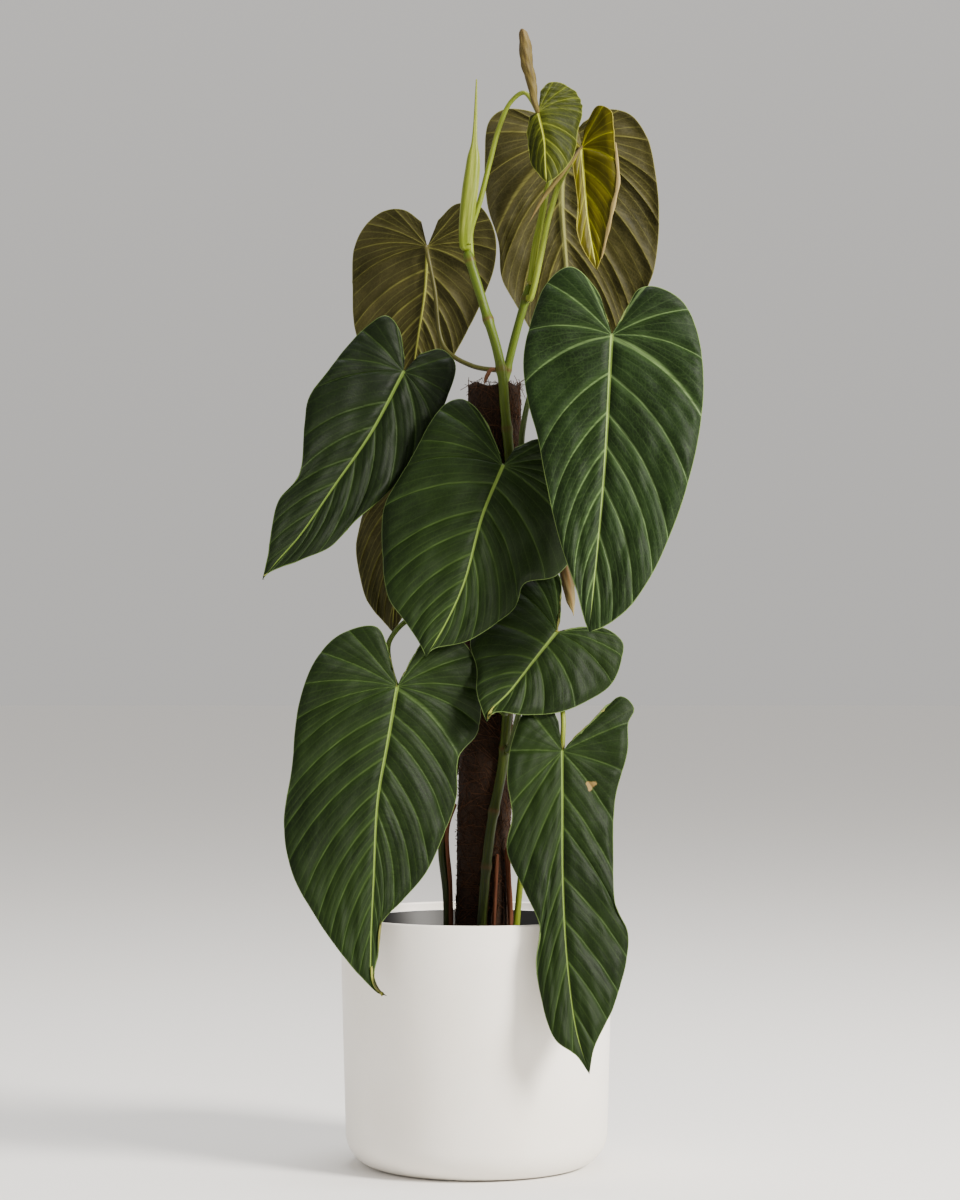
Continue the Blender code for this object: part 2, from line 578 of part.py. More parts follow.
def make_stalks(vine, second):
    """One stalk for each blade, from its vine through its middle points to its junction.

    A row gives the first two points, the middle and the radii of a stalk from its base to its blade.
    """
    main, other = (vine, VINE_RADIUS), (second, SECOND_VINE_RADIUS)
    grown = [0.0028, 0.0022, 0.0020]
    rows = {
        "top_young": (leave_vine(*main, TOP + 101, 80), [
            (-5, 0, TOP + 124), (3, 1, TOP + 151), (11, 1, TOP + 183), (19, 0, TOP + 212),
            (28, -2, TOP + 231), (39, -7, TOP + 238)],
            [0.0026, 0.0022, 0.0017]),
        "top_bronze": (leave_vine(*other, TOP + 72, -60), [
            (53, 12, TOP + 108), (58, 12, TOP + 133), (63, 12, TOP + 151), (68, 12, TOP + 166),
            (77, 10, TOP + 182)],
            [0.0026, 0.0024, 0.0018]),
        "top_back": (leave_tip(second), [
            (48, 21, TOP + 112), (53, 23, TOP + 137), (58, 26, TOP + 162), (66, 34, TOP + 186)],
            [0.0034, 0.0030, 0.0022, 0.0018]),
        "upper_left_back": (leave_vine(*other, TOP + 14, 150), [
            (-4, 34, TOP + 18), (-27, 41, TOP + 34), (-35, 42, TOP + 83)], [0.0022, 0.0019, 0.0016]),
        "upper_left": (leave_vine(*main, 300, -120), [(-20, -36, 362), (-44, -30, 415)], grown),
        "centre": (leave_vine(*main, 285, -95), [(24, -40, 308), (21, -50, 340)], grown),
        "upper_right": (leave_vine(*main, 345, -20), [
            (37, -34, 392), (48, -50, 432), (76, -74, 458)], grown),
        "left_back": (leave_vine(*other, 230, 170), [(-22, 30, 290), (-46, 28, 335)], grown),
        "centre_low": (leave_vine(*main, 135, -60), [(34, -42, 165), (44, -48, 205)], grown),
        "lower_left": (leave_vine(*main, 165, -110), [
            (-12, -40, 205), (-46, HANG + 61.5, 243), (-70, HANG + 49.5, 222)], grown),
    }
    for name, (base, middle, radii) in rows.items():
        route = base + [on_plant(*point) for point in middle] + meet_blade(BLADES[name])
        material = "fresh_stalk" if name.startswith("top") else "stalk"
        tube("stalk_" + name, stem_line(route, 14), radii, material)


def make_soil_pieces(vine, second):
    """Pieces that stand in the soil. Each comes with the pocket that it needs."""
    low = SOIL_TOP - ROOT_DEPTH
    shoot = [beside_pole(low, -35, 0.0030, 0.004)]
    shoot += [on_plant(*point) for point in [
        (34, -22, 10), (42, -30, 90), (54, -46, 160), (66, HANG + 45.5, 178), (69, HANG + 33.5, 160)]]
    shoot += meet_blade(BLADES["lower_right"])
    root_right = [beside_pole(low, -8, 0.0022, 0.002), beside_pole(RIM - 0.01, -22, 0.0022, 0.001),
                  beside_pole(RIM + 0.055, -40, 0.0022, 0.0005)]
    root_left = [beside_pole(low, -150, 0.002, 0.001), beside_pole(RIM + 0.02, -158, 0.002, 0.0035),
                 beside_pole(RIM + 0.07, -165, 0.002, 0.006), beside_pole(RIM + 0.09, -160, 0.002, 0.0005)]
    root_front = [beside_pole(low, -72, 0.0016, 0.001), beside_pole(RIM, -66, 0.0016, 0.0005),
                  beside_pole(RIM + 0.05, -62, 0.0016, 0.0)]
    vine_radii = [VINE_RADIUS * 0.9, VINE_RADIUS, VINE_RADIUS, VINE_RADIUS, VINE_RADIUS * 0.95]
    second_radii = [SECOND_VINE_RADIUS] * 2
    pieces = {
        "vine_main": (vine, vine_radii, "vine", 8, 28),
        "vine_second": (second, second_radii, "vine", 8, 28),
        "stalk_lower_right": (shoot, [0.0030, 0.0024, 0.0020], "fresh_stalk", 6, 18),
        "root_right": (root_right, [0.0022, 0.0022], "root", 6, 8),
        "root_left": (root_left, [0.0020, 0.0016], "root", 6, 10),
        "root_front": (root_front, [0.0016, 0.0014], "root", 6, 8),
    }
    pockets = []
    for name, (route, radii, material, sides, count) in pieces.items():
        points = stem_line(route, count)
        tube(name, points, radii, material, sides)
        points[0][2] -= 2 * GAP
        pockets.append(as_mesh(tube(name + "_pocket", points, radii, material, sides, grow=2 * GAP)))
    return pockets


def leave_blade(blade):
    """First two points of a piece that stands on a blade's front at the junction."""
    normal = stalk_side(blade) * blade["faces"]
    first = junction(blade) - normal * (BLADE_THICKNESS / 2 + STALK_CLEARANCE)
    return [first, first - normal * 0.003]


def make_sheaths(vine):
    """Fresh sheath at the growing tip, and the withered sheaths of older leaves."""
    spear = leave_tip(vine) + [on_plant(*point) for point in [
        (-7, -13, TOP + 143), (-3, -14, TOP + 178), (-1, -14, TOP + 213), (0, -14, TOP + 248)]]
    spear_radii = [0.0046, 0.0060, 0.0066, 0.0058, 0.0021, 0.0013, 0.0006]
    tube("sheath_tip", stem_line(spear, 14), spear_radii, "fresh_stalk", 8)
    rolled = leave_blade(BLADES["top_young"]) + [on_plant(*point) for point in [
        (47, -29, TOP + 228), (44, -30, TOP + 244), (40, -30, TOP + 263), (38, -30, TOP + 286)]]
    tube("sheath_rolled", stem_line(rolled, 12), [0.0016, 0.0036, 0.0050, 0.0056, 0.0036], "withered", 8)
    thin = leave_blade(BLADES["top_bronze"]) + [on_plant(*point) for point in [
        (80, -9, TOP + 186), (68, -12, TOP + 169), (56, -12, TOP + 154), (43, -12, TOP + 132)]]
    tube("sheath_thin", stem_line(thin, 11), [0.0011, 0.0022, 0.0020, 0.0006], "withered")
    hung = leave_vine(vine, VINE_RADIUS, 285, -5) + [on_plant(*point) for point in [
        (48, -22, 312), (64, -25, 311), (71, -28, 290), (75, -30, 270), (79, -32, 247)]]
    hung_radii = [0.0016, 0.0030, 0.0050, 0.0056, 0.0040, 0.0008]
    tube("sheath_hanging", stem_line(hung, 12), hung_radii, "withered", 8)
    stub = leave_vine(vine, VINE_RADIUS, TOP + 11, -170)
    stub += [stub[1] + np.array([-0.004, -0.001, -0.006]), stub[1] + np.array([-0.006, -0.001, -0.013])]
    tube("sheath_stub", stem_line(stub, 7), [0.0016, 0.0020, 0.0006], "withered")


def blade_finish(name, blade):
    """Young blades at the top are paler, and blades that face away show their undersides."""
    if name in ("top_young", "top_bronze"):
        return "young_leaf"
    return "leaf" if blade["faces"] == FRONT else "leaf_underside"


def build():
    """Clear the file and make every piece."""
    for old in list(bpy.data.objects):
        bpy.data.objects.remove(old, do_unlink=True)
    vine, second = vine_route(), second_vine_route()
    make_cachepot()
    make_nursery_pot()
    pole_pocket = make_pole()
    pockets = make_soil_pieces(vine, second)
    make_soil([pole_pocket] + pockets)
    make_stalks(vine, second)
    make_sheaths(vine)
    for name, blade in BLADES.items():
        make_blade("blade_" + name, blade, blade_finish(name, blade))


build()
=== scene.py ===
"""Looks of a climbing philodendron on a coir pole, in a nursery pot inside a white cachepot.

Metres, +Z up, the plant's best side towards -Y. Every piece is built by a class that holds its own sizes,
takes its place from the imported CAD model, and stands for one CAD node of the same shape.
"""
from __future__ import annotations

import logging
from collections.abc import Callable
from dataclasses import dataclass, field
from enum import Enum
from functools import partial
from math import cos, pi, radians, sin, sqrt

import bmesh
import bpy
import numpy as np
from bpy.types import ID, Material, Mesh, Node, NodeSocket, NodeTree, Object
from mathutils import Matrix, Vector
from numpy import ndarray as Array


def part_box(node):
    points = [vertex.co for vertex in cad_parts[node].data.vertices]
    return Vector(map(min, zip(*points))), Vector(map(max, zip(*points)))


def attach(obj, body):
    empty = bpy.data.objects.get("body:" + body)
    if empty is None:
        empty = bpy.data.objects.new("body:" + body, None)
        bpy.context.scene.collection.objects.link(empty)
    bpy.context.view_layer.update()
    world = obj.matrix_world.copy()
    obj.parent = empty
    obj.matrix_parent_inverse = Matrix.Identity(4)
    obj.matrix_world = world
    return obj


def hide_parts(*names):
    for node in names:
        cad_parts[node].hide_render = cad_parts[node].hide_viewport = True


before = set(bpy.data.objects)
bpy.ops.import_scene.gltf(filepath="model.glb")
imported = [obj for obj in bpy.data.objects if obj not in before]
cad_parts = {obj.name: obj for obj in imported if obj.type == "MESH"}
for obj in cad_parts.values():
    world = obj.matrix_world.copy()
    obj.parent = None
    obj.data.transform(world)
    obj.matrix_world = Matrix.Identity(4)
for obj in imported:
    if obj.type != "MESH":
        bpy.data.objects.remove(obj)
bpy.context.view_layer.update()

LOG = logging.getLogger("philodendron")
BODY = "root"
MM = 0.001
SEED = 11

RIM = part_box("cachepot")[1].z            # top of the white pot, which plant heights are measured from
POT_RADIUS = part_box("cachepot")[1].x
HANG = -POT_RADIUS / MM                  # depth of the leaves that hang in front of the pot, in mm
POLE_RADIUS = 0.022
POLE_LEAN = radians(1.4)
POLE_ABOVE_RIM = 0.432
POLE_IN_POT = 0.175
POLE_LENGTH = POLE_ABOVE_RIM + POLE_IN_POT
POLE_FOOT = RIM - POLE_IN_POT
TOP = POLE_ABOVE_RIM / MM                # height of the pole's top, which the crown stands on, in mm
GAP = 0.0003                             # air between pieces that touch
SOIL_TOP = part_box("nursery_pot")[1].z - 0.026
ROOT_DEPTH = 0.045
VINE_RADIUS = 0.0040
SECOND_VINE_RADIUS = 0.0034
STALK_CLEARANCE = 0.0010                 # air between a stalk and what it grows out of
BLADE_THICKNESS = 0.0012                 # what a blade takes up at its junction


# ---- Nodes and colour ----
def linear(code: str) -> tuple[float, float, float, float]:
    """Turn an sRGB hex colour into linear RGBA.

    Args:
        code: Colour as "#rrggbb".

    Returns:
        Linear red, green, blue and an alpha of 1.
    """
    values = [int(code[i:i + 2], 16) / 255 for i in (1, 3, 5)]
    red, green, blue = [v / 12.92 if v <= 0.04045 else ((v + 0.055) / 1.055) ** 2.4 for v in values]
    return red, green, blue, 1.0


def link(tree: NodeTree, source: Node | NodeSocket | None,
         target: NodeSocket) -> None:
    """Feed an input from a socket or from a node's first enabled output, or from nothing."""
    if isinstance(source, Node):
        source = next(socket for socket in source.outputs if socket.enabled)
    if source is not None:
        tree.links.new(source, target)


def add_node(tree: NodeTree, kind: str, settings: dict | None = None,
             links: dict | None = None) -> Node:
    """Add a node, set it and link it.

    Args:
        tree: Node tree that takes the node.
        kind: Blender's name of the node type.
        settings: Properties by name and input values by name or index, in the order they are set.
        links: Inputs by name or index, each with the node or socket that feeds it.

    Returns:
        The new node.
    """
    node = tree.nodes.new(kind)
    for key, value in (settings or {}).items():
        if isinstance(key, int) or key in node.inputs:
            node.inputs[key].default_value = value
        else:
            setattr(node, key, value)
    for key, source in (links or {}).items():
        link(tree, source, node.inputs[key])
    return node


def new_surface(name: str) -> tuple[Material, Callable]:
    """Start a material.

    Args:
        name: The real material that it stands for.

    Returns:
        The empty material, and add_node on its node tree.
    """
    material = bpy.data.materials.new(name)
    material.use_nodes = True
    material.node_tree.nodes.clear()
    return material, partial(add_node, material.node_tree)


def close_surface(material: Material, settings: dict, links: dict) -> Material:
    """Finish a material with its shader, which takes settings and links as add_node does, and its output."""
    shader = add_node(material.node_tree, "ShaderNodeBsdfPrincipled", settings, links)
    add_node(material.node_tree, "ShaderNodeOutputMaterial", links={"Surface": shader})
    return material


def per_metre(size_mm: float) -> float:
    """Scale of a noise whose waves are a size in millimetres across, two waves to one cell."""
    return 1000 / size_mm / 2


# ---- Finishes ----
@dataclass(frozen=True)
class MouldedPlastic:
    """Injection-moulded polypropylene: one colour, a very fine moulded skin and soft highlights."""

    name: str
    colour: str
    dusted: str
    roughness: float
    skin_mm: float = 0.9        # size of the moulded skin's waves
    relief: float = 0.06

    def material(self) -> Material:
        """Build the plastic's material."""
        material, add = new_surface(self.name)
        place = add("ShaderNodeTexCoord").outputs["Object"]
        cloud = add("ShaderNodeTexNoise", {"Scale": 14.0, "Detail": 4.0}, {"Vector": place})
        skin = add("ShaderNodeTexNoise", {"Scale": per_metre(self.skin_mm), "Detail": 2.0}, {"Vector": place})
        share = add("ShaderNodeMapRange", {"From Min": 0.35, "From Max": 0.75}, {"Value": cloud})
        colour = add("ShaderNodeMix", {"data_type": "RGBA", 6: linear(self.colour), 7: linear(self.dusted)},
                     {0: share})
        rough = add("ShaderNodeMapRange", {"To Min": self.roughness - 0.04, "To Max": self.roughness + 0.06},
                    {"Value": cloud})
        bump = add("ShaderNodeBump", {"Strength": self.relief, "Distance": 0.0003}, {"Height": skin})
        return close_surface(material, {"IOR": 1.49},
                             {"Base Color": colour, "Roughness": rough, "Normal": bump})


@dataclass(frozen=True)
class LooseFibre:
    """Coconut husk fibre or peat: matt, with each strand or crumb its own brown."""

    name: str
    dark: str
    light: str
    grain_mm: float

    def material(self) -> Material:
        """Build the fibre's material. The attribute "shade" tells the strands apart."""
        material, add = new_surface(self.name)
        place = add("ShaderNodeTexCoord").outputs["Object"]
        shade = add("ShaderNodeAttribute", {"attribute_name": "shade"}).outputs["Fac"]
        grain = add("ShaderNodeTexNoise", {"Scale": per_metre(self.grain_mm), "Detail": 5.0},
                    {"Vector": place})
        both = add("ShaderNodeMath", {"operation": "MULTIPLY_ADD", 1: 0.7}, {0: shade, 2: grain})
        share = add("ShaderNodeMapRange", {"From Min": 0.35, "From Max": 1.25}, {"Value": both})
        colour = add("ShaderNodeMix", {"data_type": "RGBA", 6: linear(self.dark), 7: linear(self.light)},
                     {0: share})
        bump = add("ShaderNodeBump", {"Strength": 0.6, "Distance": 0.0006}, {"Height": grain})
        return close_surface(material, {"Roughness": 0.92, "Specular IOR Level": 0.25},
                             {"Base Color": colour, "Normal": bump})


@dataclass(frozen=True)
class PlantSkin:
    """Skin of a stem, stalk, root or sheath: fine streaks along it and a change of colour to its end."""

    name: str
    base: str                   # colour at the foot
    end: str                    # colour at the far end
    streak: str
    streak_mm: float = 0.7      # width of one streak
    streak_share: float = 0.45
    roughness: float = 0.42
    relief: float = 0.25
    blotch: str = "#6b5a2c"
    blotch_share: float = 0.0
    scar: str = "#6a4526"       # colour of the ring scars
    drawn_out: float = 22.0     # how many times as long as wide a streak is

    def material(self) -> Material:
        """Build the skin's material. "skin" runs round and along a stem, and "tone" from foot to end."""
        material, add = new_surface(self.name)
        skin = add("ShaderNodeAttribute", {"attribute_name": "skin"}).outputs["Vector"]
        tone, scar = (add("ShaderNodeAttribute", {"attribute_name": name}).outputs["Fac"]
                      for name in ("tone", "scar"))
        fine = per_metre(self.streak_mm)
        stretched = add("ShaderNodeMapping", {"Scale": (fine, fine, fine / self.drawn_out)}, {"Vector": skin})
        streak = add("ShaderNodeTexNoise", {"Scale": 1.0, "Detail": 3.0, "Roughness": 0.6},
                     {"Vector": stretched})
        speck = add("ShaderNodeTexNoise", {"Scale": 160.0, "Detail": 5.0, "Roughness": 0.7}, {"Vector": skin})
        lines = add("ShaderNodeMapRange", {"From Min": 0.45, "From Max": 0.68, "To Max": self.streak_share},
                    {"Value": streak})
        spots = add("ShaderNodeMapRange", {"From Min": 0.55, "From Max": 0.66, "To Max": self.blotch_share},
                    {"Value": speck})
        colour = add("ShaderNodeMix", {"data_type": "RGBA", 6: linear(self.base), 7: linear(self.end)},
                     {0: tone})
        for mask, tint in ((lines, self.streak), (spots, self.blotch), (scar, self.scar)):
            colour = add("ShaderNodeMix", {"data_type": "RGBA", 7: linear(tint)}, {0: mask, 6: colour})
        rough = add("ShaderNodeMapRange", {"To Min": self.roughness - 0.06, "To Max": self.roughness + 0.1},
                    {"Value": speck})
        bump = add("ShaderNodeBump", {"Strength": self.relief, "Distance": 0.0004}, {"Height": streak})
        return close_surface(material, {"IOR": 1.42, "Specular IOR Level": 0.25},
                             {"Base Color": colour, "Roughness": rough, "Normal": bump})


@dataclass(frozen=True)
class LeafSkin:
    """One face of a leaf: a velvety or matt ground between pale veins, with a pale edge.

    The mesh gives the distance to each kind of vein, counted in that vein's own half widths, so veins stay
    sharp whatever the mesh. "skin" holds millimetres along and across the side veins.
    """

    name: str
    dark: str
    light: str
    vein: str
    midrib: str
    edge: str
    halo: str
    halo_share: float = 0.35
    vein_share: float = 0.85
    fine_share: float = 0.4     # how strongly the thin veins show
    net_share: float = 0.3      # how strongly the finest net shows
    streak_share: float = 0.25
    roughness: float = 0.5
    relief: float = 0.28
    specular: float = 0.1

    def material(self) -> Material:
        """Build the leaf's material: ground, streaks, net, veins and dry spots, one over the other."""
        material, add = new_surface(self.name)
        place = add("ShaderNodeTexCoord").outputs["Object"]
        read = {name: add("ShaderNodeAttribute", {"attribute_name": name}).outputs["Fac"]
                for name in ("primary", "secondary", "midrib", "margin", "blemish")}
        skin = add("ShaderNodeAttribute", {"attribute_name": "skin"}).outputs["Vector"]
        broad = add("ShaderNodeTexNoise", {"Scale": 16.0, "Detail": 4.0, "Roughness": 0.6}, {"Vector": place})
        cells = add("ShaderNodeTexNoise", {"Scale": 900.0, "Detail": 3.0}, {"Vector": place})
        drawn = add("ShaderNodeMapping", {"Scale": (0.035, 0.75, 1.0)}, {"Vector": skin})
        streak = add("ShaderNodeTexNoise", {"Scale": 1.0, "Detail": 4.0, "Roughness": 0.65},
                     {"Vector": drawn})
        web = add("ShaderNodeTexVoronoi", {"feature": "DISTANCE_TO_EDGE", "Scale": 0.3}, {"Vector": skin})
        net = add("ShaderNodeMapRange", {"From Max": 0.09, "To Min": self.net_share, "To Max": 0.0},
                  {"Value": web})
        lines = add("ShaderNodeMapRange", {"From Min": 0.48, "From Max": 0.7, "To Max": self.streak_share},
                    {"Value": streak})
        patchy = add("ShaderNodeMapRange", {"From Min": 0.35, "From Max": 0.6, "To Min": 0.45},
                     {"Value": streak})
        layers = [(lines, self.halo), (net, self.halo)]
        for name, full, gone, share, tint in (("primary", 0.6, 10.0, self.halo_share, self.halo),
                                              ("secondary", 0.2, 2.2, self.fine_share, self.vein),
                                              ("primary", 0.3, 1.9, self.vein_share, self.vein),
                                              ("midrib", 0.55, 1.15, 1.0, self.midrib),
                                              ("margin", 0.6, 1.4, 0.9, self.edge)):
            mask = add("ShaderNodeMapRange", {"interpolation_type": "SMOOTHSTEP", "From Min": full,
                                              "From Max": gone, "To Min": share, "To Max": 0.0},
                       {"Value": read[name]})
            if name in ("primary", "secondary"):
                mask = add("ShaderNodeMath", {"operation": "MULTIPLY"}, {0: mask, 1: patchy})
            layers.append((mask, tint))
        dead = add("ShaderNodeMapRange", {"From Min": 0.35, "From Max": 0.6}, {"Value": read["blemish"]})
        layers.append((dead, DEAD_LEAF))
        mixed = add("ShaderNodeMapRange", {"From Min": 0.32, "From Max": 0.68}, {"Value": broad})
        colour = add("ShaderNodeMix", {"data_type": "RGBA", 6: linear(self.dark), 7: linear(self.light)},
                     {0: mixed})
        for mask, tint in layers:
            colour = add("ShaderNodeMix", {"data_type": "RGBA", 7: linear(tint)}, {0: mask, 6: colour})
        rough = add("ShaderNodeMapRange", {"To Min": self.roughness - 0.08, "To Max": self.roughness + 0.1},
                    {"Value": broad})
        ribbed = add("ShaderNodeMath", {"operation": "MULTIPLY_ADD", 1: 2.0}, {0: streak, 2: cells})
        height = add("ShaderNodeMath", {"operation": "MULTIPLY_ADD", 1: -1.2}, {0: net, 2: ribbed})
        bump = add("ShaderNodeBump", {"Strength": self.relief, "Distance": 0.00035}, {"Height": height})
        return close_surface(material, {"IOR": 1.45, "Specular IOR Level": self.specular},
                             {"Base Color": colour, "Roughness": rough, "Normal": bump})


DEAD_LEAF = "#77633a"           # colour of a dry spot on a blade

WHITE_POT = MouldedPlastic("white_polypropylene_satin", "#f0ebe2", "#e9e3d8", 0.36)
BLACK_POT = MouldedPlastic("black_polypropylene_matt", "#0c0c0b", "#151412", 0.5, 1.2, 0.12)
COIR = LooseFibre("coconut_husk_fibre", "#0d0805", "#4a2f1a", 0.8)
PEAT = LooseFibre("peat_and_bark_mix", "#0c0805", "#33221a", 1.6)
STAKE_WOOD = PlantSkin("pine_stake", "#7a5a34", "#7a5a34", "#5b3b1b", 1.0, 0.6, 0.7)
VINE_SKIN = PlantSkin("green_vine_skin", "#121906", "#44540e", "#5a6a22", 0.8, 0.35, 0.42, 0.3,
                      "#3a2e14", 0.35, "#4a3018")
OLD_STALK = PlantSkin("green_stalk_skin", "#26330f", "#3d4d1a", "#667a34", 0.7, 0.4, scar="#4a5220")
FRESH_STALK = PlantSkin("fresh_stalk_skin", "#66741a", "#5a6718", "#8f973c", 0.7, 0.5, scar="#6f6c2a")
BRONZE_STALK = PlantSkin("bronze_stalk_skin", "#2e300f", "#3e3b16", "#5c5a2a", 0.7, 0.4, scar="#4d4620")
SPEAR_SKIN = PlantSkin("fresh_sheath_skin", "#58660c", "#6f782a", "#93984c", 0.9, 0.6, 0.42)
DRY_SHEATH = PlantSkin("dry_sheath_skin", "#5a3a22", "#7d6244", "#3c2014", 0.8, 0.6, 0.62, 0.5)
PALE_SHEATH = PlantSkin("pale_dry_sheath_skin", "#564b22", "#6b5a34", "#2a1b0d", 1.2, 0.9, 0.6, 0.7)
STRIPED_SHEATH = PlantSkin("striped_dry_sheath_skin", "#1d1108", "#8f8150", "#5e4522", 1.5, 0.75, 0.6, 0.7)
PAPERY_MARGIN = PlantSkin("papery_leaf_margin", "#7f6f40", "#8d7d50", "#4c3a1e", 0.7, 0.6, 0.55, 0.4)
ROOT_BARK = PlantSkin("aerial_root_bark", "#34190e", "#5a3320", "#7a4e34", 0.6, 0.4, 0.8, 0.6)

DARK_UPPER = LeafSkin("velvet_leaf_upper", "#0b1505", "#13220a", "#566b40", "#748b44", "#61753f", "#2c401c",
                      0.5, 0.85, 0.15)
# Painted shade: a darker copy of the leaf's upper skin, with dimmer veins, that stands for the shade falling
# on the upper left leaf
SHADED_UPPER = LeafSkin("shaded_leaf_upper", "#080f04", "#0e1806", "#2f3f1c", "#52652a", "#465828", "#172409",
                      0.5, 0.6, 0.2)
MATURE_UPPER = LeafSkin("mature_leaf_upper", "#0b1405", "#152208", "#425628", "#647935", "#586b3a", "#203110",
                        0.55, 0.5, 0.15)
DARK_UNDER = LeafSkin("velvet_leaf_under", "#232209", "#35321a", "#666631", "#7c7e36", "#6f6f38", "#484421",
                      0.4, 0.8, 0.4, 0.3, 0.35, 0.55, 0.3)
BRONZE_UNDER = LeafSkin("bronze_leaf_under", "#1d1c07", "#2f2c12", "#62602d", "#727240", "#6a6838", "#454120",
                        0.45, 0.8, 0.4, 0.3, 0.4, 0.52, 0.3)
YOUNG_UPPER = LeafSkin("young_leaf_upper", "#171b03", "#282e06", "#6b7322", "#8f9530", "#6a702c", "#434a10",
                       0.6, 0.6, 0.25, 0.25, 0.4, 0.48, 0.4)
BRONZE_UPPER = LeafSkin("bronze_leaf_upper", "#262302", "#3f3a03", "#8c8c1c", "#b4b442", "#7c7530", "#605c0a",
                        0.6, 0.75, 0.2, 0.25, 0.35, 0.42, 0.4)
YOUNG_UNDER = LeafSkin("young_leaf_under", "#262a07", "#3a400e", "#72762c", "#8f9438", "#7c7e3c", "#4c5018",
                       0.4, 0.85, 0.4, 0.3, 0.35, 0.5, 0.3)


# ---- Lines and meshes ----
def curve_through(points: list, steps: int = 10) -> Array:
    """Draw a smooth curve through points.

    Args:
        points: Points of two or three values each.
        steps: Steps between one point and the next.

    Returns:
        Points of the centripetal Catmull-Rom curve.
    """
    knots = [np.array(p, float) for p in points]
    knots = [2 * knots[0] - knots[1]] + knots + [2 * knots[-1] - knots[-2]]
    out = []
    for i in range(1, len(knots) - 2):
        p0, p1, p2, p3 = knots[i - 1:i + 3]
        t1 = sqrt(np.linalg.norm(p1 - p0))
        t2 = t1 + sqrt(np.linalg.norm(p2 - p1))
        t3 = t2 + sqrt(np.linalg.norm(p3 - p2))
        for t in np.linspace(t1, t2, steps, endpoint=False):
            a1 = p0 + (p1 - p0) * t / t1
            a2 = p1 + (p2 - p1) * (t - t1) / (t2 - t1)
            a3 = p2 + (p3 - p2) * (t - t2) / (t3 - t2)
            b1 = a1 + (a2 - a1) * t / t2
            b2 = a2 + (a3 - a2) * (t - t1) / (t3 - t1)
            out.append(b1 + (b2 - b1) * (t - t1) / (t2 - t1))
    out.append(knots[-2])
    return np.array(out)


def length_of(line: Array) -> float:
    """Length of a polyline."""
    return np.sum(np.linalg.norm(np.diff(line, axis=0), axis=1))


def reach_of(line: Array) -> Array:
    """Share of a polyline's length at each of its points."""
    reach = np.concatenate([[0], np.cumsum(np.linalg.norm(np.diff(line, axis=0), axis=1))])
    return reach / reach[-1]


def along(line: Array, share: Array) -> Array:
    """Read a polyline at shares of its length, from 0 to 1."""
    reach = reach_of(line)
    return np.stack([np.interp(share, reach, line[:, axis]) for axis in range(line.shape[1])], -1)


def flat_cross(a: Array, b: Array) -> Array:
    """Cross product of vectors of two values each."""
    return a[..., 0] * b[..., 1] - a[..., 1] * b[..., 0]


def unit(way: Array) -> Array:
    """Vector of length 1 the same way."""
    return way / np.linalg.norm(way)


def smooth_step(low: float, high: float, value: Array) -> Array:
    """Eased step of values, 0 at and below low and 1 at and above high."""
    share = np.clip((value - low) / (high - low), 0, 1)
    return share * share * (3 - 2 * share)


def ring_faces(rings: int, sides: int, looped: bool = False, capped: bool = False) -> list[list[int]]:
    """Faces between rings of points.

    Args:
        rings: Number of rings.
        sides: Points in each ring.
        looped: Whether the last ring joins the first.
        capped: Whether the first and last rings are closed with a face.

    Returns:
        The points of each face.
    """
    pairs = [(i * sides, (i + 1) % rings * sides) for i in range(rings if looped else rings - 1)]
    faces = [[low + k, low + (k + 1) % sides, high + (k + 1) % sides, high + k]
             for low, high in pairs for k in range(sides)]
    if capped:
        faces += [list(range(sides)), list(range((rings - 1) * sides, rings * sides))]
    return faces


def carry(centre: Array, side: Array, up: Array, x: Array, y: Array) -> Array:
    """Carry a section, its X and Y for each point of a line, along the line in the frame of side and up."""
    return centre + side[:, None] * x[..., None] + up[:, None] * y[..., None]


@dataclass
class Shell:
    """Points, faces and point attributes of a mesh in the making."""

    points: Array
    faces: list
    floats: dict = field(default_factory=dict)
    vectors: dict = field(default_factory=dict)
    slots: list = field(default_factory=list)

    def to_object(self, name: str, materials: list) -> Object:
        """Make the object, shaded smooth.

        Args:
            name: Name of the piece.
            materials: Its materials, in slot order.

        Returns:
            The linked object, with its place in its mesh.
        """
        mesh = bpy.data.meshes.new(name)
        mesh.from_pydata(self.points.tolist(), [], self.faces)
        for kind, key, table in (("FLOAT", "value", self.floats), ("FLOAT_VECTOR", "vector", self.vectors)):
            for layer_name, values in table.items():
                layer = mesh.attributes.new(layer_name, kind, "POINT")
                layer.data.foreach_set(key, np.asarray(values, np.float32).ravel())
        for material in materials:
            mesh.materials.append(material)
        if self.slots:
            mesh.polygons.foreach_set("material_index", self.slots)
        mesh.shade_smooth()
        return add_object(name, mesh)


def add_object(name: str, data: ID) -> Object:
    """Make an object and link it to the scene."""
    made = bpy.data.objects.new(name, data)
    bpy.context.scene.collection.objects.link(made)
    return made


def face_outwards(piece: Object, merge: float = 1e-6) -> None:
    """Merge a closed piece's doubles and turn its faces outwards.

    Args:
        piece: The piece.
        merge: Distance within which points are one.
    """
    bm = bmesh.new()
    bm.from_mesh(piece.data)
    bmesh.ops.remove_doubles(bm, verts=bm.verts, dist=merge)
    bmesh.ops.recalc_face_normals(bm, faces=bm.faces)
    bm.to_mesh(piece.data)
    bm.free()


def freeze(piece: Object) -> Object:
    """Replace a piece's mesh with the result of its modifiers, and remove them.

    Args:
        piece: The piece.

    Returns:
        The same object.
    """
    bpy.context.view_layer.update()
    result = bpy.data.meshes.new_from_object(piece.evaluated_get(bpy.context.evaluated_depsgraph_get()))
    piece.modifiers.clear()
    piece.data = result
    return piece


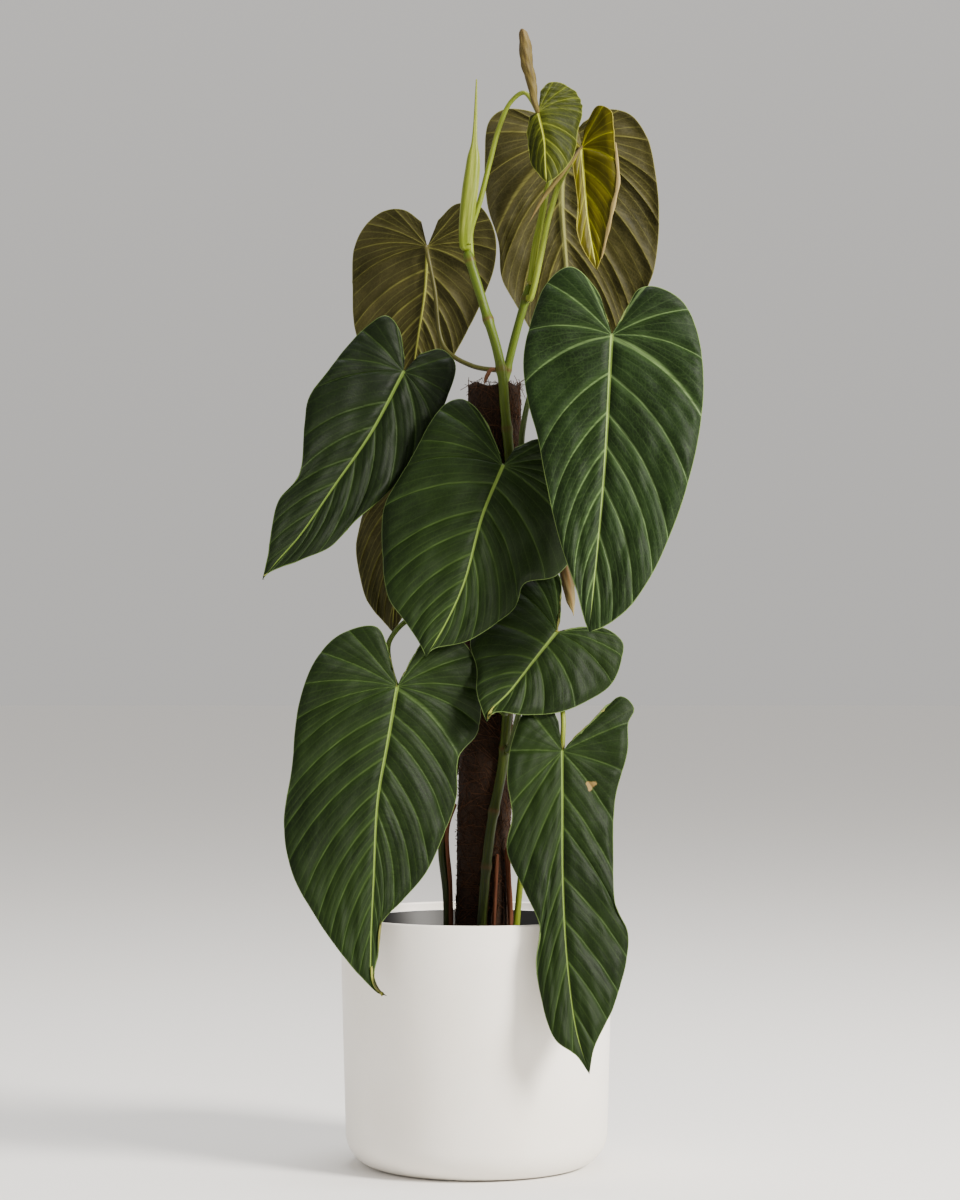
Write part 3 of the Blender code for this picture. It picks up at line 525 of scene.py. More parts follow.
def hand_over(piece: Object, node: str) -> None:
    """Give a finished piece its body and the CAD node that it stands for.

    Args:
        piece: The finished piece.
        node: CAD node that the piece replaces.
    """
    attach(piece, BODY)
    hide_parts(node)
    LOG.info("%s: %d points, stands for %s", piece.name, len(piece.data.vertices), node)


def frames_along(line: Array) -> tuple[Array, Array, Array]:
    """Carry a frame along a line without twisting it.

    Args:
        line: Points of the line.

    Returns:
        The unit tangents and the two unit directions across them.
    """
    tangents = np.gradient(line, axis=0)
    tangents /= np.linalg.norm(tangents, axis=1)[:, None]
    across = np.cross(tangents[0], (0.0, 1.0, 0.0))
    if np.linalg.norm(across) < 0.1:
        across = np.cross(tangents[0], (1.0, 0.0, 0.0))
    sides = []
    for tangent in tangents:
        across = across - tangent * np.dot(across, tangent)
        across /= np.linalg.norm(across)
        sides.append(across.copy())
    sides = np.array(sides)
    return tangents, sides, np.cross(tangents, sides)


# ---- Node trees that make geometry ----
class GeometryRecipe:
    """A Geometry Nodes tree with named inputs, run once on a base mesh."""

    def __init__(self, name: str, inputs: dict[str, float | int]) -> None:
        """Start the tree.

        Args:
            name: Name of the tree.
            inputs: Each input's value by its name. A whole number makes an integer input.
        """
        self.values = inputs
        self.tree = bpy.data.node_groups.new(name, "GeometryNodeTree")
        self.tree.interface.new_socket("Geometry", in_out="INPUT", socket_type="NodeSocketGeometry")
        self.sockets = {key: self.tree.interface.new_socket(
            key, in_out="INPUT", socket_type="NodeSocketInt" if isinstance(value, int) else "NodeSocketFloat")
            for key, value in inputs.items()}
        self.tree.interface.new_socket("Geometry", in_out="OUTPUT", socket_type="NodeSocketGeometry")
        self.add = partial(add_node, self.tree)
        self.given = self.add("NodeGroupInput").outputs

    def shaded(self, copies: Node) -> Node:
        """Give each instance its own random "shade" from 0 to 1."""
        shade = self.add("FunctionNodeRandomValue", {"data_type": "FLOAT"}, {"Seed": self.given["Seed"]})
        return self.add("GeometryNodeStoreNamedAttribute",
                        {"data_type": "FLOAT", "domain": "INSTANCE", "Name": "shade"},
                        {"Geometry": copies, "Value": shade})

    def run(self, name: str, last: Node, material: Material,
            base: Mesh | None = None) -> Object:
        """Close the tree and turn its result into a plain mesh.

        Args:
            name: Name of the finished piece.
            last: Node whose geometry is the result.
            material: Material of the whole result.
            base: Mesh that the tree starts from, or none.

        Returns:
            The piece, with a plain mesh and no modifier.
        """
        realised = self.add("GeometryNodeRealizeInstances", links={"Geometry": last})
        dressed = self.add("GeometryNodeSetMaterial", {"Material": material}, {"Geometry": realised})
        self.add("NodeGroupOutput", links={0: dressed})
        piece = add_object(name, base or bpy.data.meshes.new(name))
        modifier = piece.modifiers.new(self.tree.name, "NODES")
        modifier.node_group = self.tree
        for key, value in self.values.items():
            modifier[self.sockets[key].identifier] = value
        return freeze(piece)


# ---- Pots and soil ----
NURSERY_SIDES = 96              # points round the nursery pot


@dataclass
class TurnedPot:
    """A round pot: flat foot, rounded corner, straight flared wall and a rounded rim."""

    name: str
    finish: MouldedPlastic
    bottom: float
    rim_height: float
    rim_radius: float
    foot_radius: float          # of the wall carried down to the bottom, before the corner is rounded
    wall: float
    floor: float
    foot_rounding: float
    sides: int = 160
    steps: int = 14             # steps round each corner
    lip_rounding: float = 0.49  # rounding of the rim's two corners, as a share of the wall

    def corners(self, recipe: GeometryRecipe) -> tuple[Node, Node]:
        """Lay out the profile's corners from the named sizes.

        Args:
            recipe: The tree, which has the named sizes.

        Returns:
            A node that gives each corner's position, and one that gives its rounding.
        """
        given, add = recipe.given, recipe.add
        inner_rim, inner_foot, inner_round, inner_floor = (
            add("ShaderNodeMath", {"operation": operation}, {0: given[size], 1: given[change]})
            for operation, size, change in (
                ("SUBTRACT", "Rim radius", "Wall"), ("SUBTRACT", "Foot radius", "Wall"),
                ("SUBTRACT", "Foot rounding", "Wall"), ("ADD", "Bottom", "Floor")))
        lip = add("ShaderNodeMath", {"operation": "MULTIPLY", 1: self.lip_rounding}, {0: given["Wall"]})
        rows = [(None, given["Bottom"], None),
                (given["Foot radius"], given["Bottom"], given["Foot rounding"]),
                (given["Rim radius"], given["Rim height"], lip), (inner_rim, given["Rim height"], lip),
                (inner_foot, inner_floor, inner_round), (None, inner_floor, None)]
        order = add("GeometryNodeInputIndex")
        place, rounding = (add("GeometryNodeIndexSwitch", {"data_type": kind}, {"Index": order})
                           for kind in ("VECTOR", "FLOAT"))
        for _ in rows[2:]:
            place.index_switch_items.new()
            rounding.index_switch_items.new()
        for i, (radius, height, bend) in enumerate(rows, 1):
            point = add("ShaderNodeCombineXYZ", links={"X": radius, "Z": height})
            link(recipe.tree, point, place.inputs[i])
            link(recipe.tree, bend, rounding.inputs[i])
        return place, rounding

    def build(self) -> Object:
        """Sweep the profile round the axis and merge the seam and the poles."""
        recipe = GeometryRecipe(self.name + "_profile_sweep", {
            "Bottom": self.bottom, "Rim height": self.rim_height, "Rim radius": self.rim_radius,
            "Foot radius": self.foot_radius, "Wall": self.wall, "Floor": self.floor,
            "Foot rounding": self.foot_rounding, "Sides": self.sides, "Corner steps": self.steps})
        given, add = recipe.given, recipe.add
        place, rounding = self.corners(recipe)
        bent = add("GeometryNodeSetPosition",
                   links={"Geometry": add("GeometryNodeMeshLine", {"Count": 6}), "Position": place})
        curve = add("GeometryNodeMeshToCurve", links={"Mesh": bent})
        profile = add("GeometryNodeFilletCurve", {"mode": "POLY", "Limit Radius": True},
                      {"Curve": curve, "Count": given["Corner steps"], "Radius": rounding})
        count = add("GeometryNodeAttributeDomainSize", {"component": "CURVE"}, {0: profile}).outputs[0]
        columns = add("ShaderNodeMath", {"operation": "ADD", 1: 1.0}, {0: given["Sides"]})
        grid = add("GeometryNodeMeshGrid", {"Size X": 1.0, "Size Y": 1.0},
                   {"Vertices X": columns, "Vertices Y": count})
        position = add("GeometryNodeInputPosition")
        where = add("ShaderNodeSeparateXYZ", links={0: position}).outputs
        turn = add("ShaderNodeMath", {"operation": "MULTIPLY", 1: 2 * pi}, {0: where["X"]})
        last = add("ShaderNodeMath", {"operation": "SUBTRACT", 1: 1.0}, {0: count})
        lifted = add("ShaderNodeMath", {"operation": "ADD", 1: 0.5}, {0: where["Y"]})
        scaled = add("ShaderNodeMath", {"operation": "MULTIPLY"}, {0: lifted, 1: last})
        index = add("ShaderNodeMath", {"operation": "ROUND"}, {0: scaled})
        sample = add("GeometryNodeSampleIndex", {"data_type": "FLOAT_VECTOR", "domain": "POINT"},
                     {"Geometry": profile, "Value": position, "Index": index})
        found = add("ShaderNodeSeparateXYZ", links={0: sample}).outputs
        x, y = (add("ShaderNodeMath", {"operation": "MULTIPLY"},
                    {0: found["X"], 1: add("ShaderNodeMath", {"operation": circle}, {0: turn})})
                for circle in ("COSINE", "SINE"))
        around = add("ShaderNodeCombineXYZ", links={"X": x, "Y": y, "Z": found["Z"]})
        swept = add("GeometryNodeSetPosition", links={"Geometry": grid, "Position": around})
        closed = add("GeometryNodeMergeByDistance", {"Distance": 1e-6}, {"Geometry": swept})
        piece = recipe.run(self.name + "_shell", closed, self.finish.material())
        face_outwards(piece)
        piece.data.shade_smooth()
        piece.data.set_sharp_from_angle(angle=radians(50))
        return piece


def build_cachepot() -> None:
    """The white pot, from its own box: 3 mm wall, 27 mm rounding at the foot."""
    rounding, flare = 0.027, 0.0045         # flare: how much wider the rim is than the top of the rounding
    foot_radius = POT_RADIUS - flare / (RIM - rounding) * RIM
    pot = TurnedPot("cachepot", WHITE_POT, 0.0, RIM, POT_RADIUS, foot_radius, 0.003, 0.004, rounding)
    hand_over(pot.build(), "cachepot")


def nursery_collar(high: Vector, lip: float, finish: Material) -> Object:
    """Make the nursery pot's turned-out lip, a closed ring of its own.

    Args:
        high: Upper corner of the pot's box.
        lip: How far the lip stands out from the wall.
        finish: The pot's material.

    Returns:
        The ring.
    """
    wall, drop, round_off, sink = 0.0012, 0.012, 0.0006, 0.0004
    lathe = [(high.x - inward, high.z - down) for inward, down in (
        (lip + sink, round_off), (0.0005, 0.0), (0.0, round_off), (0.0, drop), (wall, drop),
        (wall, 0.0016), (lip + sink, 0.0016))]
    angles = np.linspace(0, 2 * pi, NURSERY_SIDES, endpoint=False)
    points = np.array([[r * cos(a), r * sin(a), z] for a in angles for r, z in lathe])
    faces = ring_faces(NURSERY_SIDES, len(lathe), looped=True)
    collar = Shell(points, faces).to_object("nursery_collar", [finish])
    face_outwards(collar)
    return collar


def drain_drill(low: Vector, degrees: float) -> Object:
    """Make the round bar that cuts one drain hole.

    Args:
        low: Lower corner of the pot's box.
        degrees: Where the hole lies round the pot.

    Returns:
        The bar, which runs right through the pot's floor.
    """
    radius, circle, sides = 0.006, 0.045, 20
    x, y = circle * cos(radians(degrees)), circle * sin(radians(degrees))
    ring = np.linspace(0, 2 * pi, sides, endpoint=False)
    points = np.array([[x + radius * cos(a), y + radius * sin(a), z]
                       for z in (low.z - 0.002, low.z + 0.004) for a in ring])
    drill = Shell(points, ring_faces(2, sides, capped=True)).to_object(f"drain_{degrees}", [])
    face_outwards(drill)
    return drill


def build_nursery_pot() -> None:
    """The black pot inside: a thin tapered wall, a turned-out lip and four drain holes."""
    low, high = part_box("nursery_pot")
    wall, lip, foot_radius, foot_rounding = 0.0014, 0.003, 0.074, 0.0045
    body = TurnedPot("nursery_pot", BLACK_POT, low.z, high.z, high.x - lip, foot_radius,
                     wall, wall, foot_rounding, sides=NURSERY_SIDES, steps=5).build()
    collar = nursery_collar(high, lip, body.data.materials[0])
    drills = [drain_drill(low, degrees) for degrees in (45, 135, 225, 315)]
    for drill in drills:
        cut = body.modifiers.new(drill.name, "BOOLEAN")
        cut.operation, cut.object = "DIFFERENCE", drill
    freeze(body)
    bm = bmesh.new()
    bm.from_mesh(body.data)
    bm.from_mesh(collar.data)
    bm.to_mesh(body.data)
    bm.free()
    for used in drills + [collar]:
        bpy.data.objects.remove(used)
    hand_over(body, "nursery_pot")


@dataclass
class SoilFill:
    """Peat and bark mix: an uneven top, with crumbs and bark strewn over it."""

    crown: float = 0.004        # how much higher it is round the pole
    unevenness: float = 0.0009
    crumb: float = 0.0030       # radius of a large crumb
    density: float = 60000.0    # crumbs to the square metre
    bare_edge: float = 0.004    # width of the edge that no crumb lies on
    sides: int = 120

    def ground(self) -> Object:
        """Closed fill of the nursery pot, with "strewn" marking where crumbs lie."""
        low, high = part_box("potting_soil")
        edge = high.x - 0.0006
        rings = [(0.0, low.z), (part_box("nursery_pot")[1].x * 0.66, low.z), (edge, SOIL_TOP)]
        rings += [(edge * k, SOIL_TOP + self.crown * (1 - k * k)) for k in np.linspace(0.97, 0.02, 44)]
        rings += [(0.0, SOIL_TOP + self.crown)]
        waves = np.random.default_rng(SEED).uniform(0, 2 * pi, (7, 2))
        points, strewn = [], []
        for radius, height in rings:
            for k in range(self.sides):
                x, y = radius * cos(2 * pi * k / self.sides), radius * sin(2 * pi * k / self.sides)
                lift = sum(sin(x * 70 * (i + 1) + a) * sin(y * 60 * (i + 1) + b) / sqrt(i + 1)
                           for i, (a, b) in enumerate(waves))
                upper = height > SOIL_TOP + 1e-5
                points.append([x, y, height + self.unevenness * lift * upper])
                strewn.append(float(upper and radius < edge - self.bare_edge))
        shell = Shell(np.array(points), ring_faces(len(rings), self.sides),
                      {"shade": np.full(len(points), 0.15), "strewn": strewn})
        piece = shell.to_object("soil_ground", [PEAT.material()])
        face_outwards(piece)
        return piece

    def build(self) -> None:
        """Lay the ground and strew crumbs over it with Geometry Nodes."""
        ground = self.ground()
        recipe = GeometryRecipe("soil_crumbs",
                                {"Crumb radius": self.crumb, "Density": self.density, "Seed": SEED})
        given, add = recipe.given, recipe.add
        marked = add("GeometryNodeInputNamedAttribute", {"data_type": "FLOAT", "Name": "strewn"})
        inside = add("FunctionNodeCompare", {"data_type": "FLOAT", "operation": "GREATER_THAN", 1: 0.6},
                     {0: marked})
        dots = add("GeometryNodeDistributePointsOnFaces", {"distribute_method": "RANDOM"},
                   {"Mesh": given["Geometry"], "Selection": inside, "Density": given["Density"],
                    "Seed": given["Seed"]})
        ball = add("GeometryNodeMeshIcoSphere", {"Subdivisions": 1}, {"Radius": given["Crumb radius"]})
        turn, size = (add("FunctionNodeRandomValue", {"data_type": "FLOAT_VECTOR", 0: low, 1: high},
                          {"Seed": given["Seed"]})
                      for low, high in (((0.0, 0.0, 0.0), (6.28, 6.28, 6.28)),
                                        ((0.2, 0.15, 0.1), (1.1, 0.75, 0.5))))
        copies = add("GeometryNodeInstanceOnPoints",
                     links={"Points": dots, "Instance": ball, "Rotation": turn, "Scale": size})
        crumbs = recipe.run("soil_crumbs", recipe.shaded(copies), PEAT.material(), ground.data.copy())
        for piece in (ground, crumbs):
            hand_over(piece, "potting_soil")


# ---- Coir pole ----
def pole_axis(height: float) -> Array:
    """Point of the pole's leaning axis at a height above the ground."""
    return np.array([(height - POLE_FOOT) * sin(POLE_LEAN) / cos(POLE_LEAN), 0, height])


@dataclass
class CoirPole:
    """A stake in a sleeve of matted coconut fibre: a lumpy core under thousands of loose strands."""

    radius: float = POLE_RADIUS - 0.0008
    bore: float = 0.0113
    lumps: float = 0.018        # height of the core's lumps, as a share of its radius
    ragged: float = 0.0016      # how far the core's top edge goes up and down
    strand_length: float = 0.017
    strand_radius: float = 0.00022
    rise: float = 0.0003        # how far a strand's middle stands off the surface
    density: float = 47000.0    # strands to the square metre
    sides: int = 72
    rows: int = 190

    def core(self) -> Object:
        """Lumpy closed sleeve on the leaning axis, with a bore for the stake and a ragged rim."""
        waves = np.random.default_rng(SEED).uniform(0, 2 * pi, (9, 2))
        profile = [(POLE_LENGTH * i / self.rows, 1.0) for i in range(self.rows + 1)]
        profile += [(POLE_LENGTH - 0.001, 0.93), (POLE_LENGTH - 0.003, 0.0), (0.0, 0.0)]    # 0: on the bore
        points = []
        for length, share in profile:
            height = POLE_FOOT + length * cos(POLE_LEAN)
            centre = pole_axis(height)
            for k in range(self.sides):
                a = 2 * pi * k / self.sides
                lump = sum(sin(a * (n + 2) + p) * sin(height * 60 * (n + 1) + q) / (n + 1)
                           for n, (p, q) in enumerate(waves))
                outer = self.radius * (1 + self.lumps * lump) * share if share > 0 else self.bore
                edge = self.ragged * sin(5 * a + 1) * (length > POLE_LENGTH - 0.002)
                points.append(centre + np.array([outer * cos(a), outer * sin(a), edge]))
        core = Shell(np.array(points), ring_faces(len(profile), self.sides, looped=True),
                     {"shade": np.full(len(points), 0.1)})
        piece = core.to_object("coir_core", [COIR.material()])
        face_outwards(piece)
        return piece

    def build(self) -> None:
        """Cover the core with strands and hand the sleeve over."""
        core = self.core()
        recipe = GeometryRecipe("coir_strands", {
            "Strand length": self.strand_length, "Strand radius": self.strand_radius,
            "Density": self.density, "Seed": SEED})
        given, add = recipe.given, recipe.add
        dots = add("GeometryNodeDistributePointsOnFaces", {"distribute_method": "RANDOM"},
                   {"Mesh": given["Geometry"], "Density": given["Density"], "Seed": given["Seed"]})
        half, back, bow = (add("ShaderNodeMath", {"operation": "MULTIPLY", 1: share},
                               {0: given["Strand length"]}) for share in (0.5, -0.5, 0.08))
        strand = add("GeometryNodeCurvePrimitiveBezierSegment", {"mode": "OFFSET", "Resolution": 5}, {
            "Start": add("ShaderNodeCombineXYZ", links={"X": back}),
            "Start Handle": add("ShaderNodeCombineXYZ", {"Z": self.rise}, {"X": half}),
            "End Handle": add("ShaderNodeCombineXYZ", {"Z": self.rise}, {"Y": bow}),
            "End": add("ShaderNodeCombineXYZ", links={"X": half, "Y": bow})})
        ring = add("GeometryNodeCurvePrimitiveCircle", {"Resolution": 3}, {"Radius": given["Strand radius"]})
        tube = add("GeometryNodeCurveToMesh", {"Fill Caps": True}, {"Curve": strand, "Profile Curve": ring})
        lean, size = (add("FunctionNodeRandomValue", {"data_type": "FLOAT", 2: low, 3: high},
                          {"Seed": given["Seed"]}) for low, high in ((0.0, 2 * pi), (0.5, 1.35)))
        outward = add("FunctionNodeAlignRotationToVector", {"axis": "Z"}, {"Vector": dots.outputs["Normal"]})
        turned = add("FunctionNodeRotateRotation", {"rotation_space": "LOCAL"},
                     {"Rotation": outward, "Rotate By": add("ShaderNodeCombineXYZ", links={"Z": lean})})
        copies = add("GeometryNodeInstanceOnPoints",
                     links={"Points": dots, "Instance": tube, "Rotation": turned, "Scale": size})
        strands = recipe.run("coir_strands", recipe.shaded(copies), COIR.material(), core.data.copy())
        for piece in (core, strands):
            hand_over(piece, "coir_sleeve")


# ---- Stems and sheaths ----
DOME_RINGS = np.array([0.03, 0.12, 0.3, 0.55, 0.8, 1.1])    # rings from each domed end, in radii
LONG_LUMPS, SHORT_LUMPS = 70, 190                           # a stem's unevenness, in radians to the metre
SCAR_WIDTH = 0.45               # of a ring scar, as a share of its swelling's


@dataclass
class Swept:
    """What follows a line, with its radii at even steps along it, and stands for one CAD node."""

    name: str
    node: str
    slot: str
    finish: PlantSkin
    line: Array
    radii: list[float]

    def radius_at(self, share: Array) -> Array:
        """Smooth radius at shares of the length."""
        knots = curve_through([[x, r * 1000] for x, r in zip(np.linspace(0, 1, len(self.radii)), self.radii)])
        return np.interp(share, knots[:, 0], knots[:, 1]) / 1000

    def skin(self, angle: Array, lengthwise: Array) -> Array:
        """Place on the skin, round and along, for angles round the line and lengths along it."""
        wide = float(np.mean(self.radii))
        return np.stack(np.broadcast_arrays(np.cos(angle) * wide, np.sin(angle) * wide, lengthwise), -1)


@dataclass
class Stem(Swept):
    """A round stem, stalk, root or spear that follows a line."""

    rings: list[tuple[float, float, float]] = field(default_factory=list)   # share, swell, half width
    groove: float = 0.0         # depth of the groove along its upper side, as a share of the radius
    lumps: float = 0.02
    sides: int = 18
    step: float = 0.0022
    ends: tuple[float, float] = (0.0, 0.0)      # how far it reaches on past each end of the line

    def build(self) -> None:
        """Sweep the section along the line and close both ends with a dome."""
        line = curve_through(list(self.line), 12)
        start = line[0] - unit(line[1] - line[0]) * self.ends[0]
        stop = line[-1] + unit(line[-1] - line[-2]) * self.ends[1]
        line = np.vstack([start, line[1:-1], stop])
        length = length_of(line)
        near = DOME_RINGS * float(np.mean(self.radii)) / length
        even = np.linspace(0, 1, max(8, int(length / self.step)))
        share = np.unique(np.concatenate([even, near, 1 - near]))
        centre = along(line, share)
        _, side, up = frames_along(centre)
        radius, scar = self.radius_at(share), np.zeros(len(share))
        for place, swell, width in self.rings:
            away = (share - place) * length / width
            radius = radius * (1 + swell * np.exp(-away ** 2))
            scar = np.maximum(scar, 0.75 * np.exp(-(away / SCAR_WIDTH) ** 2))
        dome = np.ones(len(share))
        for end in (share, 1 - share):
            dome *= np.sqrt(np.clip(1 - (1 - np.clip(end * length / radius, 0, 1)) ** 2, 0, 1))
        radius = radius * np.maximum(dome, 0.02)
        angle = np.linspace(0, 2 * pi, self.sides, endpoint=False)
        phase = sum(map(ord, self.name)) % 7
        reach = share[:, None] * length
        bump = 1 + self.lumps * np.sin(angle * 3 + reach * LONG_LUMPS + phase)
        bump += self.lumps * 0.6 * np.sin(angle * 2 - reach * SHORT_LUMPS + phase)
        bump -= self.groove * np.exp(-((angle - pi / 2) / 0.55) ** 2)
        out = radius[:, None] * bump
        points = carry(centre[:, None], side, up, out * np.cos(angle), out * np.sin(angle))
        skin = self.skin(angle, reach)
        shell = Shell(points.reshape(-1, 3), ring_faces(len(share), self.sides, capped=True),
                      {"tone": np.repeat(share, self.sides), "scar": np.repeat(scar, self.sides)},
                      {"skin": skin.reshape(-1, 3)})
        piece = shell.to_object(self.name, [self.finish.material()])
        face_outwards(piece, 1e-7)
        hand_over(piece, self.node)


@dataclass
class RolledSheath(Swept):
    """A dry or fresh sheath: one thin sheet rolled round itself, its end cut slantwise."""

    turns: float = 1.3
    opening: float = 0.0        # where the sheet's outer edge lies, in degrees round the line
    slant: float = 0.18         # share of the length that the slanted end takes
    crumple: float = 0.10
    tuck: float = 0.86          # radius of the sheet's inner edge, as a share of its outer edge's
    thickness: float = 0.0004
    step: float = 0.0016
    columns: int = 34

    def build(self) -> None:
        """Roll the sheet and give it its thickness."""
        line = curve_through(list(self.line), 12)
        length = length_of(line)
        rows, columns = max(24, int(length / self.step)), self.columns
        share = np.linspace(0, 1, rows)
        roll = np.linspace(0, 1, columns)
        reach = share[:, None] * (1 - self.slant * (0.5 + 0.5 * np.cos(2 * pi * roll)) * share[:, None] ** 2)
        centre = along(line, reach.ravel()).reshape(rows, columns, 3)
        _, side, up = frames_along(along(line, share))
        angle = roll[None, :] * self.turns * 2 * pi + radians(self.opening)
        wave = np.sin(angle * 3 + share[:, None] * 9) * np.sin(share[:, None] * 23 + angle * 2)
        radius = self.radius_at(reach) - self.thickness
        radius = radius * (self.tuck + (1 - self.tuck) * roll) * (1 + self.crumple * wave)
        points = carry(centre, side, up, radius * np.cos(angle), radius * np.sin(angle))
        faces = [[i * columns + k, i * columns + k + 1, (i + 1) * columns + k + 1, (i + 1) * columns + k]
                 for i in range(rows - 1) for k in range(columns - 1)]
        shell = Shell(points.reshape(-1, 3), faces, {"tone": reach.ravel() ** 6},
                      {"skin": self.skin(angle, reach * length).reshape(-1, 3)})
        piece = shell.to_object(self.name, [self.finish.material()])
        solid = piece.modifiers.new("thickness", "SOLIDIFY")
        solid.thickness, solid.offset = self.thickness, 0.0
        hand_over(freeze(piece), self.node)


# ---- Routes ----
LEAD = 0.003                    # how far a piece runs straight on from what it grows out of
NECK = 0.004                    # how far a stalk runs square on to its blade


class Side(Enum):
    """Which side of a leaf faces the front, -Y."""

    FRONT = 1
    BACK = -1


def on_plant(x: float, y: float, z: float) -> Array:
    """World point from millimetres, with its height above the cachepot's rim."""
    return np.array([x * MM, y * MM, z * MM + RIM])


@dataclass(frozen=True)
class Outline:
    """A blade's front elevation in millimetres from its junction, and how it bends.

    left and right are margin points from the tip up round the lobe to the sinus, and mid is the midrib from
    the junction down. slope and yaw tilt it, folds turn the halves back, droop bows them, wave ruffles them.
    """

    at: tuple[float, float, float]
    faces: Side
    slope: float
    yaw: float
    folds: tuple[float, float]
    droop: float
    wave: tuple[float, int, float]
    bow: float
    tip: tuple[float, float]
    left: list[tuple[float, float]]
    right: list[tuple[float, float]]
    mid: list[tuple[float, float]]

    def junction(self) -> Array:
        """World point where the stalk meets the blade."""
        return on_plant(*self.at)

    def stalk_side(self) -> Array:
        """Unit normal at the junction, on the side that the stalk comes from."""
        return unit(np.array([-self.yaw, 1, -self.slope])) * self.faces.value

    def meet(self) -> list[Array]:
        """Last two points of a stalk, square on to the blade at the junction."""
        stop = self.junction() + self.stalk_side() * (BLADE_THICKNESS / 2 + STALK_CLEARANCE)
        return [stop + self.stalk_side() * NECK, stop]

    def leave(self) -> list[Array]:
        """First two points of a piece that stands on the blade's front at the junction."""
        normal = self.stalk_side() * self.faces.value
        first = self.junction() - normal * (BLADE_THICKNESS / 2 + STALK_CLEARANCE)
        return [first, first - normal * LEAD]

    def margin(self, side: int) -> Array:
        """Margin of the left half, 0, or the right, 1, from the tip."""
        return curve_through([self.tip] + (self.left, self.right)[side])

    def midline(self) -> Array:
        """Midrib from the tip to the junction."""
        return curve_through([self.tip] + self.mid[::-1] + [(0, 0)])


